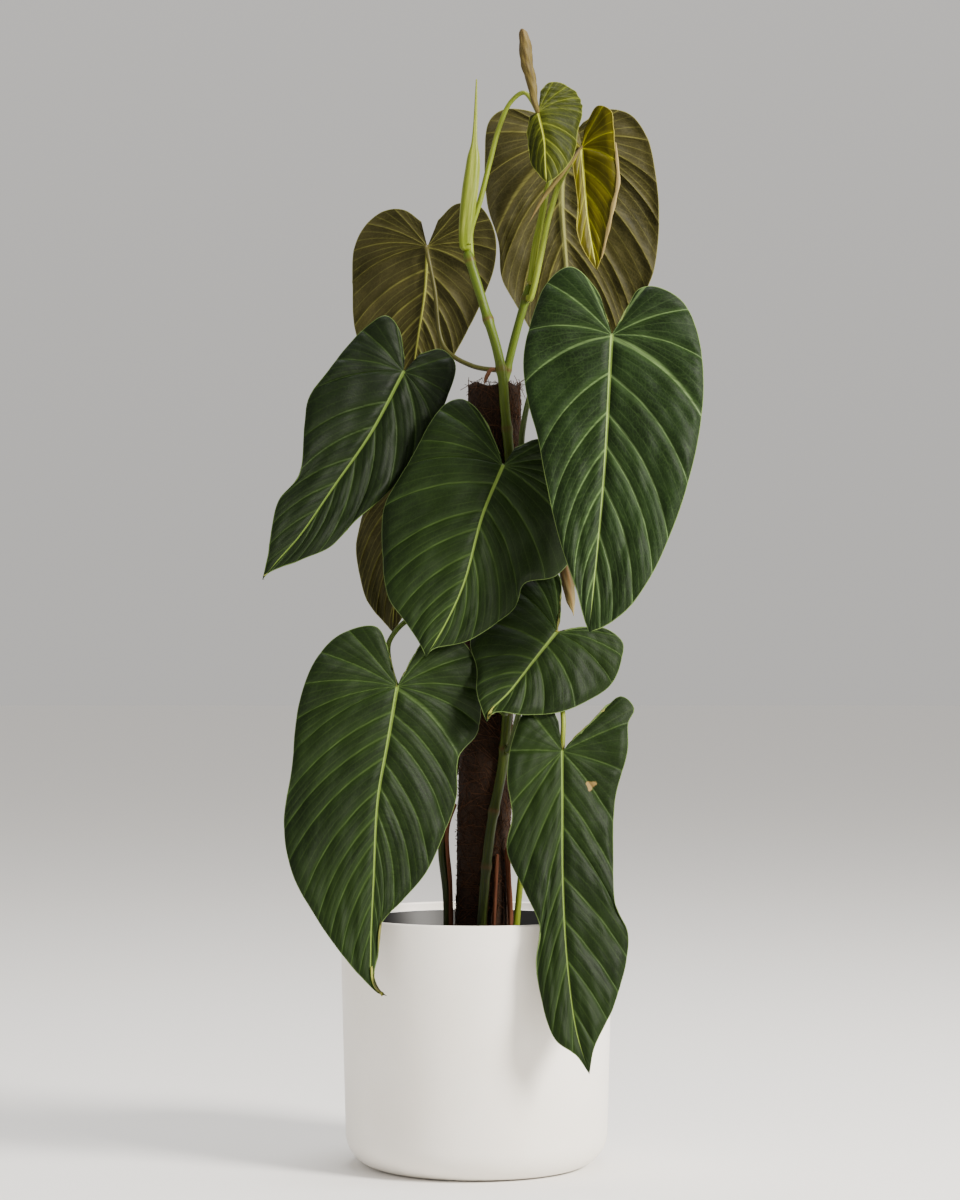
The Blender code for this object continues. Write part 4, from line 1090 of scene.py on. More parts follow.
OUTLINES = {
    "top_young": Outline(
        at=(50, -20, TOP + 220), faces=Side.FRONT, slope=0.10, yaw=-0.10, folds=(0.5, 0.25),
        droop=0.3, wave=(1.0, 3, 0.2), bow=0.0, tip=(7, -58),
        left=[(2, -53), (-6, -40), (-8, -28), (-9, -15), (-7, -3)],
        right=[(15, -53), (26, -40), (31, -26), (32, -14), (36, 1), (34, 16), (23, 24), (9, 25), (2, 18)],
        mid=[(5, -23), (6, -43)]),
    "top_bronze": Outline(
        at=(86, 2, TOP + 194), faces=Side.FRONT, slope=0.10, yaw=0.0, folds=(-0.5, -0.55),
        droop=0.0, wave=(0.6, 2, 0.0), bow=0.0, tip=(12, -101),
        left=[(7, -94), (-1, -80), (-4, -66), (-3, -52), (-5, -31), (-8, -10), (-9, 10), (-3, 23)],
        right=[(15, -93), (20, -72), (25, -49), (29, -30), (28, -10), (26, 15), (24, 29), (13, 34), (3, 20)],
        mid=[(2, -26), (5, -59)]),
    "top_back": Outline(
        at=(76, 60, TOP + 208), faces=Side.BACK, slope=-0.14, yaw=0.0, folds=(-0.35, -0.10),
        droop=0.12, wave=(2.0, 4, 0.1), bow=0.14, tip=(18, -238),
        left=[(-2, -211), (-23, -171), (-43, -136), (-55, -115), (-58, -84), (-67, -54), (-69, -17),
              (-66, 13), (-54, 23), (-32, 23), (-10, 15)],
        right=[(29, -216), (45, -176), (60, -138), (73, -107), (77, -71), (74, -29), (67, 2), (52, 21),
               (31, 25), (13, 15)],
        mid=[(-5, -38), (-1, -102), (6, -167)]),
    "upper_left_back": Outline(
        at=(-41, 50, TOP + 118), faces=Side.BACK, slope=-0.10, yaw=-0.15, folds=(-0.12, -0.12),
        droop=0.15, wave=(1.2, 3, 0.4), bow=0.12, tip=(-18, -152),
        left=[(-32, -129), (-50, -99), (-61, -67), (-63, -37), (-62, -2), (-53, 17), (-37, 30), (-20, 31),
              (-5, 21)],
        right=[(-2, -132), (16, -101), (32, -72), (45, -46), (56, -16), (56, 11), (43, 33), (24, 35),
               (9, 22)],
        mid=[(-2, -36), (-9, -82)]),
    "upper_left": Outline(
        at=(-59, -35, 440), faces=Side.FRONT, slope=0.16, yaw=0.18, folds=(-0.08, -0.10),
        droop=0.22, wave=(1.6, 4, 0.3), bow=0.12, tip=(-111, -168),
        left=[(-107, -149), (-99, -105), (-83, -84), (-79, -43), (-76, -22), (-60, 1), (-46, 20),
              (-30, 37), (-14, 46), (-3, 34), (1, 11)],
        right=[(-105, -162), (-78, -151), (-58, -142), (-38, -121), (-13, -99), (5, -76), (22, -47),
               (35, -21), (42, 7), (31, 19), (13, 15)],
        mid=[(-26, -50), (-55, -93), (-82, -133), (-101, -155)]),
    "centre": Outline(
        at=(21, -65, 363), faces=Side.FRONT, slope=0.14, yaw=0.04, folds=(-0.05, 0.25),
        droop=0.22, wave=(2.2, 4, 0.0), bow=0.12, tip=(-61, -152),
        left=[(-67, -140), (-80, -121), (-91, -105), (-96, -71), (-95, -34), (-85, -13), (-71, 11),
              (-58, 35), (-46, 50), (-31, 54), (-15, 38), (-2, 10)],
        right=[(-55, -146), (-29, -140), (-6, -126), (10, -112), (17, -94), (42, -88), (61, -63),
               (65, -27), (52, 6), (30, 22), (10, 15)],
        mid=[(-16, -39), (-31, -94), (-45, -125)]),
    "upper_right": Outline(
        at=(107, -95, 465), faces=Side.FRONT, slope=0.15, yaw=-0.04, folds=(-0.10, -0.10),
        droop=0.25, wave=(1.4, 4, 0.25), bow=0.14, tip=(-19, -234),
        left=[(-22, -227), (-29, -202), (-42, -162), (-53, -114), (-59, -80), (-66, -54), (-70, -21),
              (-64, 11), (-50, 44), (-32, 55), (-12, 37), (-3, 11)],
        right=[(-8, -230), (10, -217), (29, -191), (48, -150), (61, -110), (70, -67), (72, -34), (67, 5),
               (56, 27), (34, 39), (21, 37), (12, 22), (4, 8)],
        mid=[(-7, -114)]),
    "left_back": Outline(
        at=(-65, 40, 356), faces=Side.BACK, slope=-0.12, yaw=-0.30, folds=(0.10, -0.15),
        droop=0.15, wave=(1.0, 3, 0.1), bow=0.10, tip=(-5, -127),
        left=[(-14, -117), (-27, -100), (-34, -75), (-36, -54), (-30, -29), (-20, -8), (-8, 3)],
        right=[(3, -115), (17, -91), (25, -62), (27, -29), (18, -4), (8, 7)],
        mid=[(-1, -67)]),
    "centre_low": Outline(
        at=(64, -65, 230), faces=Side.FRONT, slope=0.50, yaw=-0.05, folds=(-0.02, 0.12),
        droop=0.20, wave=(2.0, 4, 0.35), bow=0.14, tip=(-56, -70),
        left=[(-59, -63), (-64, -46), (-64, -28), (-69, -10), (-65, 14), (-50, 36), (-29, 51), (-9, 55),
              (3, 45), (4, 26), (3, 9)],
        right=[(-50, -63), (-24, -65), (2, -63), (25, -54), (43, -42), (51, -25), (53, -8), (40, 3),
               (22, 5), (7, 2)],
        mid=[(-18, -22), (-38, -47), (-54, -63)]),
    "lower_left": Outline(
        at=(-63, HANG + 33.5, 187), faces=Side.FRONT, slope=0.13, yaw=0.10, folds=(-0.10, 0.05),
        droop=0.25, wave=(2.0, 5, 0.15), bow=0.12, tip=(-7, -242),
        left=[(-14, -240), (-22, -233), (-42, -210), (-63, -181), (-82, -146), (-89, -106), (-83, -64),
              (-78, -14), (-65, 21), (-45, 42), (-17, 48), (-8, 33), (-4, 15)],
        right=[(-13, -237), (-17, -228), (-15, -210), (-12, -186), (4, -169), (23, -147), (35, -121),
               (47, -89), (49, -55), (63, -38), (67, -10), (62, 21), (46, 40), (26, 42), (12, 23), (4, 8)],
        mid=[(-7, -42), (-15, -89), (-18, -152), (-20, -206), (-19, -231), (-14, -239)]),
    "lower_right": Outline(
        at=(68, HANG + 25.5, 136), faces=Side.FRONT, slope=0.20, yaw=0.05, folds=(-0.10, 0.08),
        droop=0.15, wave=(3.0, 3, 0.6), bow=0.02, tip=(20, -249),
        left=[(10, -235), (-7, -222), (-18, -189), (-21, -164), (-18, -137), (-30, -109), (-44, -77),
              (-40, -48), (-44, -20), (-40, 8), (-30, 31), (-13, 41), (-3, 24)],
        right=[(24, -229), (39, -199), (50, -164), (51, -140), (42, -122), (40, -85), (42, -38), (52, 0),
               (53, 22), (58, 33), (47, 43), (28, 27), (8, 9)],
        mid=[(0, -38), (0, -100), (3, -162), (10, -216)]),
}


def beside_pole(height: float, degrees: float, radius: float, stand_off: float = 0.0) -> Array:
    """Centre of a stem that climbs the pole, 0 degrees at +X and -90 at the front."""
    reach = POLE_RADIUS + radius + 2 * GAP + stand_off
    return pole_axis(height) + reach * np.array([cos(radians(degrees)), sin(radians(degrees)), 0])


@dataclass(frozen=True)
class Vine:
    """A climbing stem that stalks and sheaths leave."""

    route: list[Array]
    radius: float

    def at(self, height: float) -> Array:
        """Point of the vine at a height in millimetres above the rim."""
        line = curve_through(self.route, 8)
        line = line[np.argsort(line[:, 2])]
        return np.array([np.interp(RIM + height * MM, line[:, 2], line[:, axis]) for axis in range(3)])

    def leave(self, height: float, degrees: float) -> list[Array]:
        """First two points of a piece that leaves the vine level, square to its side."""
        toward = np.array([cos(radians(degrees)), sin(radians(degrees)), 0])
        first = self.at(height) + toward * (self.radius + STALK_CLEARANCE)
        return [first, first + toward * LEAD]

    def go_on(self) -> list[Array]:
        """First two points of a piece that goes on from the vine's end."""
        toward = unit(self.route[-1] - self.route[-2])
        first = self.route[-1] + toward * STALK_CLEARANCE
        return [first, first + toward * LEAD]

    def rings(self, heights: list[float]) -> list[tuple[float, float, float]]:
        """Swellings where leaves leave the vine, from their heights in millimetres above the rim."""
        line = curve_through(self.route, 12)
        reach = reach_of(line)
        order = np.argsort(line[:, 2])
        return [(float(np.interp(RIM + z * MM, line[order, 2], reach[order])), VINE_SWELL, VINE_NODE)
                for z in heights]


# ---- Leaves ----
FAN = 0.56                      # share of a margin, from the tip, that veins off the midrib reach
SPREAD = ((0.4, 1.515), (0.15, 2.7))                        # even share and power: level veins, steep ones
TIP_BOW, LOBE_BOW = 0.13, 0.17                              # bow of steep veins, as shares of their chord
FAR = 9.0                       # distance that stands for "no vein near", in a vein's half widths
ROW_STEPS = np.array([0, 0.04, 0.09, 0.16, 0.25, 0.34, 0.42, 0.5, 0.58, 0.66, 0.75, 0.84, 0.91, 0.96])
MIDRIB_COLUMNS = np.array([0.5, 1.0, 1.6, 2.4])             # mm from the midrib
MIDRIB_SHARES = np.array([0.02, 0.04, 0.06, 0.08])          # the same as the most of a row's length
OUTER_COLUMNS = 23
LAST_COLUMN = 0.985             # share of a row's length where the column beside the margin lies
VEIN_KINDS = ("primary", "secondary", "midrib", "margin", "blemish")
GROOVE = 0.45                   # depth of the groove over the midrib, in mm
CURL = 0.5                      # how far the margin of a blade that faces the front turns back, in mm
VEIN_RISE, MIDRIB_RISE = 0.5, 0.9                           # how far they stand out underneath, in mm
HIGHEST_BULGE = 2.6             # most that the blade rises between two side veins, in mm
RIM_WIDTH = 0.45                # half width of the pale rim, in mm
BLUNT = 3.0                     # radius of the fold along the midrib, in mm
PLEAT_TURN = 1.05               # how fast the pleats follow each other, in radians to the mm
ROLL_SIDES, ROLL_RINGS = 14, 70


def distance_to(points: Array, line: Array) -> Array:
    """Distance from points to a polyline.

    Args:
        points: Points of two values each, in an array of any shape.
        line: The polyline's points.

    Returns:
        One distance for each point.
    """
    best = np.full(points.shape[:-1], np.inf)
    for first, last in zip(line, line[1:]):
        way = last - first
        share = np.clip((points - first) @ way / max(way @ way, 1e-12), 0, 1)
        best = np.minimum(best, np.linalg.norm(points - first - share[..., None] * way, axis=-1))
    return best


def untangle(grid: Array, rounds: int = 60) -> Array:
    """Smooth a grid of flat points where its cells fold over, and leave its edges as they are.

    Args:
        grid: Points of two values each, as rows by columns.
        rounds: Most rounds of smoothing.

    Returns:
        The grid with the least folded area that smoothing reaches.
    """
    grid, best, least = grid.copy(), grid, np.inf
    for _ in range(rounds):
        area = flat_cross(grid[1:, 1:] - grid[:-1, :-1], grid[1:, :-1] - grid[:-1, 1:])
        area = area * np.sign(np.median(area))
        folded = area < 0
        if -area[folded].sum() < least:
            best, least = grid.copy(), -area[folded].sum()
        if not folded.any():
            break
        near = np.pad(folded, 3)
        near = sum(near[i:i + grid.shape[0], k:k + grid.shape[1]] for i in range(6) for k in range(6)) > 0
        near[[0, -1]] = near[:, [0, -1]] = False
        mean = (np.roll(grid, 1, 0) + np.roll(grid, -1, 0) + np.roll(grid, 1, 1) + np.roll(grid, -1, 1)) / 4
        grid[near] = mean[near]
    return best


@dataclass
class LeafBlade:
    """A heart-shaped blade: two halves of curved side veins, quilted between them, with a rim all round."""

    name: str
    form: Outline
    slot: str
    upper: LeafSkin
    under: LeafSkin
    veins: tuple[int, int] = (7, 4)             # side veins off the midrib, and fanned over the lobe
    sweep: tuple[float, float] = (1.0, 1.0)     # how steeply the side veins of each half run down
    calm_tip: float = 0.05                      # share of the midrib, from the tip, where they run level
    quilt: float = 0.13                         # rise between side veins as a share of their spacing
    midrib: tuple[float, float] = (1.5, 0.5)    # its half width at the junction and the tip, in mm
    vein: tuple[float, float] = (0.75, 0.22)    # a side vein's half width at the midrib and the margin
    crumple: float = 0.7                        # height of its gentle hills, in mm
    pleats: float = 0.0                         # depth of the folds across its top, in mm
    rolled_margin: bool = False                 # whether its right margin is a dry, papery roll
    blemish: tuple[float, float] | None = None  # place of a dry spot, in mm from the junction
    thickness: float = 0.0009
    seed: int = 0

    def knots(self, rng: np.random.Generator) -> Array:
        """Side veins' places, 0 at the tip, 1 at the junction and 2 at the sinus, slightly uneven."""
        off_midrib, fanned = self.veins
        lower = (np.arange(off_midrib) / off_midrib) ** 0.85
        even = np.concatenate([lower, 1 + np.arange(fanned + 1) / fanned])
        gap = np.diff(even).min()
        even[1:-1] += rng.uniform(-0.15, 0.15, len(even) - 2) * gap
        return even

    def flat_half(self, side: int, t: Array, out: Array) -> tuple[Array, Array]:
        """Front elevation of one half.

        Args:
            side: 0 for the left half, 1 for the right.
            t: Rows' places along the midrib and round the lobe, 0 to 2.
            out: Columns' shares from the midrib to the margin, one row of them for each t.

        Returns:
            The points in millimetres and each row's share of the margin.
        """
        form, sweep = self.form, self.sweep[side]
        down, fanned = np.clip(t, 0, 1), np.clip(t - 1, 0, 1)
        steep = sweep * smooth_step(0.0, self.calm_tip, down)
        level, swept = (even * down + (1 - even) * down ** power for even, power in SPREAD)
        share = FAN * (level + (swept - level) * steep) + (1 - FAN) * fanned
        ends, starts = along(form.margin(side), share), along(form.midline(), down)
        chord = ends - starts
        across = (-1, 1)[side] * np.stack([-chord[:, 1], chord[:, 0]], -1)
        gentle = form.bow * smooth_step(0, 0.2, share) * (1 - smooth_step(0.5, 0.85, share))
        strong = TIP_BOW * smooth_step(0, 0.35, down) * (1 - smooth_step(0, 1, down))
        strong = strong + LOBE_BOW * smooth_step(0, 1, down) * (1 - smooth_step(0.15, 1, fanned))
        lift = gentle * (1 - steep) + strong * steep
        handles = ((starts + ends) / 2 + across * lift[:, None])[:, None]
        starts, ends, out = starts[:, None], ends[:, None], out[..., None]
        return (1 - out) ** 2 * starts + 2 * out * (1 - out) * handles + out ** 2 * ends, share

    def columns(self, side: int, t: Array) -> Array:
        """Columns' shares from the midrib to the margin, close together beside the midrib.

        Args:
            side: 0 for the left half, 1 for the right.
            t: Rows' places along the midrib and round the lobe, 0 to 2.

        Returns:
            One row of shares for each t.
        """
        ends = self.flat_half(side, t, np.broadcast_to((0.0, 1.0), (len(t), 2)))[0]
        reach = np.maximum(np.linalg.norm(ends[:, 1] - ends[:, 0], axis=1), 1e-6)
        near = np.minimum(MIDRIB_COLUMNS / reach[:, None], MIDRIB_SHARES)
        rest = near[:, -1:] + (LAST_COLUMN - near[:, -1:]) * np.linspace(0, 1, OUTER_COLUMNS)[None, 1:]
        return np.concatenate([np.zeros((len(t), 1)), near, rest, np.ones((len(t), 1))], 1)

    def depth(self, flat: Array, side: int, share: Array, out: Array) -> Array:
        """Depth in millimetres behind the junction, for points of the front elevation."""
        form = self.form
        axis = np.array(form.tip, float)
        length = np.linalg.norm(axis)
        axis /= length
        spine = curve_through([(0, 0)] + form.mid + [form.tip])
        sway = np.interp(flat @ axis, spine @ axis, flat_cross(axis, spine))
        beside = np.abs(flat_cross(axis, flat) - sway)
        eased = np.sqrt(beside ** 2 + BLUNT ** 2) - BLUNT
        size, count, phase = form.wave
        ruffle = size * out ** 2 * np.sin(2 * pi * (count * share[:, None] + phase))
        ruffle = ruffle * (smooth_step(0, 0.15, share) * (1 - smooth_step(0.85, 1, share)))[:, None]
        return (form.slope * flat[..., 1] + form.yaw * flat[..., 0] + form.folds[side] * eased
                + form.droop * beside ** 2 / (0.3 * length) * 0.5 + ruffle)

    def hills(self, run: Array, walk: Array, reach_mid: Array, turns: Array) -> Array:
        """Gentle hills in the ground between the veins.

        Args:
            run: Millimetres along the side veins.
            walk: Millimetres across them.
            reach_mid: Millimetres from the midrib, where there are none.
            turns: Four random phases.

        Returns:
            Their height in millimetres.
        """
        hills = np.sin(run * 0.13 + turns[0]) * np.sin(walk * 0.07 + turns[1])
        hills = hills + 0.6 * np.sin(run * 0.24 + turns[2] + walk * 0.11) * np.sin(walk * 0.19 + turns[3])
        return self.crumple * hills * smooth_step(0, 14, reach_mid) * smooth_step(0, 25, run[:, -1:])

    def dry_spot(self, flat: Array) -> Array:
        """Ragged dry spot: 1 where the blade is dead and 0 where it is alive."""
        if not self.blemish:
            return np.zeros(flat.shape[:2])
        away = (flat - np.array(self.blemish)) @ np.array([[0.21, 0.17], [0.12, -0.27]])
        ragged = 0.3 * np.sin(3 * np.arctan2(away[..., 1], away[..., 0]) + 1.0)
        return np.clip(1.5 + ragged - np.linalg.norm(away, axis=-1), 0, 1)

    def half(self, side: int, rng: np.random.Generator) -> dict[str, Array]:
        """One half as a grid of points, with its vein distances and quilting.

        Args:
            side: 0 for the left half, 1 for the right.
            rng: Source of the small unevenness.

        Returns:
            World points, relief in metres and the point attributes, each as rows by columns.
        """
        knots = self.knots(rng)
        t = np.concatenate([a + (b - a) * ROW_STEPS for a, b in zip(knots, knots[1:])] + [[2.0]])
        between = np.minimum(np.searchsorted(knots, t, side="right") - 1, len(knots) - 2)
        u = (t - knots[between]) / (knots[between + 1] - knots[between])
        out = self.columns(side, t)
        flat, share = self.flat_half(side, t, out)
        flat = untangle(flat)
        way = np.gradient(flat, axis=1)
        way /= np.maximum(np.linalg.norm(way, axis=2), 1e-9)[..., None]
        first, last = (self.flat_half(side, knots[between + k], out)[0] for k in (0, 1))
        gap = np.abs(flat_cross(last - first, way))                 # between the two side veins, in mm
        ends = (np.where(between == 0, FAR, u), np.where(between == len(knots) - 2, FAR, 1 - u))
        side_vein = np.minimum(*ends)[:, None] * gap
        thin = np.minimum(np.abs(u - 1 / 3), np.abs(u - 2 / 3))[:, None] * gap
        width = (self.vein[0] + (self.vein[1] - self.vein[0]) * out) * (0.32 + 0.68 * smooth_step(2, 12, gap))
        reach_mid = distance_to(flat, self.form.midline())
        reach_edge = distance_to(flat, self.form.margin(side))
        lengthwise = np.clip(t, 0, 1)[:, None]
        at_tip = smooth_step(0, 0.14, lengthwise)                   # 0 at the tip, 1 away from it
        rib = self.midrib[1] + (self.midrib[0] - self.midrib[1]) * lengthwise ** 1.2
        rib = rib * (0.35 + 0.65 * at_tip)
        run, step = np.linalg.norm(np.diff(flat, axis=1), axis=2), np.diff(flat, axis=0)
        run = np.concatenate([np.zeros((len(t), 1)), np.cumsum(run, axis=1)], 1)
        walk = np.cumsum(np.abs(flat_cross(step, way[1:])), axis=0)
        walk = np.concatenate([np.zeros((1, out.shape[1])), walk], 0)
        bulge = self.quilt * gap * (np.abs(np.sin(pi * u)) ** 0.7)[:, None]
        bulge = np.minimum(bulge, HIGHEST_BULGE)
        bulge = bulge + self.quilt * 0.2 * gap * np.abs(np.sin(3 * pi * u))[:, None]
        taper = smooth_step(0, 6, reach_mid) * (0.3 + 0.7 * smooth_step(0, 6, reach_edge))
        hills = self.hills(run, walk, reach_mid, rng.uniform(0, 2 * pi, 4))
        hills = hills + self.pleats * np.sin(flat[..., 1] * PLEAT_TURN) * smooth_step(0, 7, flat[..., 1])
        rib_shape = np.exp(-(reach_mid / rib) ** 2)
        curl = 0.0 if self.form.faces is Side.BACK else CURL
        relief = bulge * taper + hills - GROOVE * rib_shape - curl * np.exp(-(reach_edge / 2.2) ** 2)
        raised = VEIN_RISE * np.exp(-(side_vein / (width * 1.3)) ** 2) * taper + MIDRIB_RISE * rib_shape
        world = np.stack([flat[..., 0], self.depth(flat, side, share, out), flat[..., 1]], -1)
        return {"world": world * MM + self.form.junction(), "relief": relief * MM, "raised": raised * MM,
                "primary": side_vein / width, "secondary": thin / (0.04 + 0.3 * smooth_step(4, 13, gap)),
                "midrib": reach_mid / rib + 0.9 * (1 - at_tip),
                "margin": reach_edge / RIM_WIDTH + 1.3 * (1 - at_tip), "blemish": self.dry_spot(flat),
                "skin": np.stack([run, walk + 300 * side + 700 * self.seed, run * 0], -1),
                "share": np.broadcast_to(share[:, None], gap.shape), "edge": np.exp(-(reach_edge / 1.2) ** 2)}

    def sheet(self) -> tuple[Array, list[list[int]], dict[str, Array]]:
        """Join both halves into one middle surface.

        Returns:
            Its points, its faces and the value of everything else at each point.
        """
        rng = np.random.default_rng(SEED + self.seed)
        seen: dict[tuple, int] = {}
        values: dict[str, list] = {}
        faces = []
        for side in (0, 1):
            half = self.half(side, rng)
            world = half["world"]
            index = np.zeros(world.shape[:2], int)
            for i in range(world.shape[0]):
                for k in range(world.shape[1]):
                    key = tuple(np.round(world[i, k], 6))
                    if key not in seen:
                        seen[key] = len(seen)
                        for name, grid in half.items():
                            values.setdefault(name, []).append(grid[i, k])
                    index[i, k] = seen[key]
            for a, b in zip(index, index[1:]):
                for k in range(len(a) - 1):
                    ring = [a[k], a[k + 1], b[k + 1], b[k]] if side else [b[k], b[k + 1], a[k + 1], a[k]]
                    corners = list(dict.fromkeys(int(v) for v in ring))
                    if len(corners) > 2:
                        faces.append(corners)
        gathered = {name: np.array(column) for name, column in values.items()}
        return gathered.pop("world"), faces, gathered

    def margin_roll(self) -> tuple[Array, list[list[int]], Array]:
        """Closed, slightly flattened roll along the right margin.

        Returns:
            Its points, its faces and each point's share of its length.
        """
        half = self.half(1, np.random.default_rng(SEED + self.seed))
        line, share = half["world"][:, -1], half["share"][:, -1]
        place = np.linspace(0, 1, ROLL_RINGS)
        line = along(line[(share > 0.06) & (share < 0.66)], place) + np.array([0.0002, -0.0008, 0.0])
        _, side, up = frames_along(line)
        radius = 0.0004 + 0.0013 * np.sin(pi * place) ** 0.6 * (1 + 0.25 * np.sin(place * 31))
        turn = np.linspace(0, 2 * pi, ROLL_SIDES, endpoint=False) + 2.2 * place[:, None]
        x = radius[:, None] * np.cos(turn)
        y = 0.7 * radius[:, None] * np.sin(turn) * (1 + 0.2 * np.cos(3 * turn))
        points = carry(line[:, None], side, up, x, y)
        faces = ring_faces(ROLL_RINGS, ROLL_SIDES, capped=True)
        return points.reshape(-1, 3), faces, np.repeat(place, ROLL_SIDES)

    def build(self) -> None:
        """Give the middle surface its thickness, veins and rim, and dress both faces."""
        points, faces, values = self.sheet()
        middle = bpy.data.meshes.new(self.name + "_middle")
        middle.from_pydata(points.tolist(), [], faces)
        normals = np.zeros(len(points) * 3)
        middle.vertices.foreach_get("normal", normals)
        normals = normals.reshape(-1, 3)
        if np.sum(normals[:, 1]) * self.form.faces.value > 0:
            normals = -normals
            faces = [face[::-1] for face in faces]
        bpy.data.meshes.remove(middle)
        thin = self.thickness / 2 * (1 - 0.55 * values["edge"])
        top = points + normals * (values["relief"] + thin)[:, None]
        bottom = points + normals * (values["relief"] - thin - values["raised"])[:, None]
        count = len(points)
        edges = dict.fromkeys((a, b) for face in faces for a, b in zip(face, face[1:] + face[:1]))
        rim = [(a, b) for a, b in edges if (b, a) not in edges]
        closed = faces + [[v + count for v in reversed(face)] for face in faces]
        closed += [[b, a, a + count, b + count] for a, b in rim]
        slots = [0] * len(faces) + [1] * len(faces) + [0] * len(rim)
        both = np.vstack([top, bottom])
        twice = {name: np.concatenate([values[name]] * 2) for name in VEIN_KINDS}
        skin = np.concatenate([values["skin"]] * 2)
        materials = [self.upper.material(), self.under.material()]
        if self.rolled_margin:
            roll, ring, along_roll = self.margin_roll()
            closed += [[v + len(both) for v in face] for face in ring]
            slots += [2] * len(ring)
            twice = {name: np.append(column, np.full(len(roll), FAR)) for name, column in twice.items()}
            twice["tone"] = np.append(np.zeros(len(both)), along_roll)
            skin = np.vstack([skin * MM, np.stack([along_roll * 0, roll[:, 0], roll[:, 2]], -1)])
            both = np.vstack([both, roll])
            materials.append(PAPERY_MARGIN.material())
        piece = Shell(both, closed, twice, {"skin": skin}, slots).to_object("leaf_" + self.name, materials)
        hand_over(piece, "blade_" + self.name)


# ---- The plant ----
VINE_SWELL, VINE_NODE = 0.22, 0.0035                        # swelling of a vine's nodes, and their half width
STALK_RINGS = [(0.012, 0.22, 0.004), (0.965, 0.12, 0.006)]  # a stalk's swollen foot and neck
STALK_ENDS = (0.0022, 0.0016)                               # how far it reaches on past foot and neck
STALK_GROOVE = 0.10


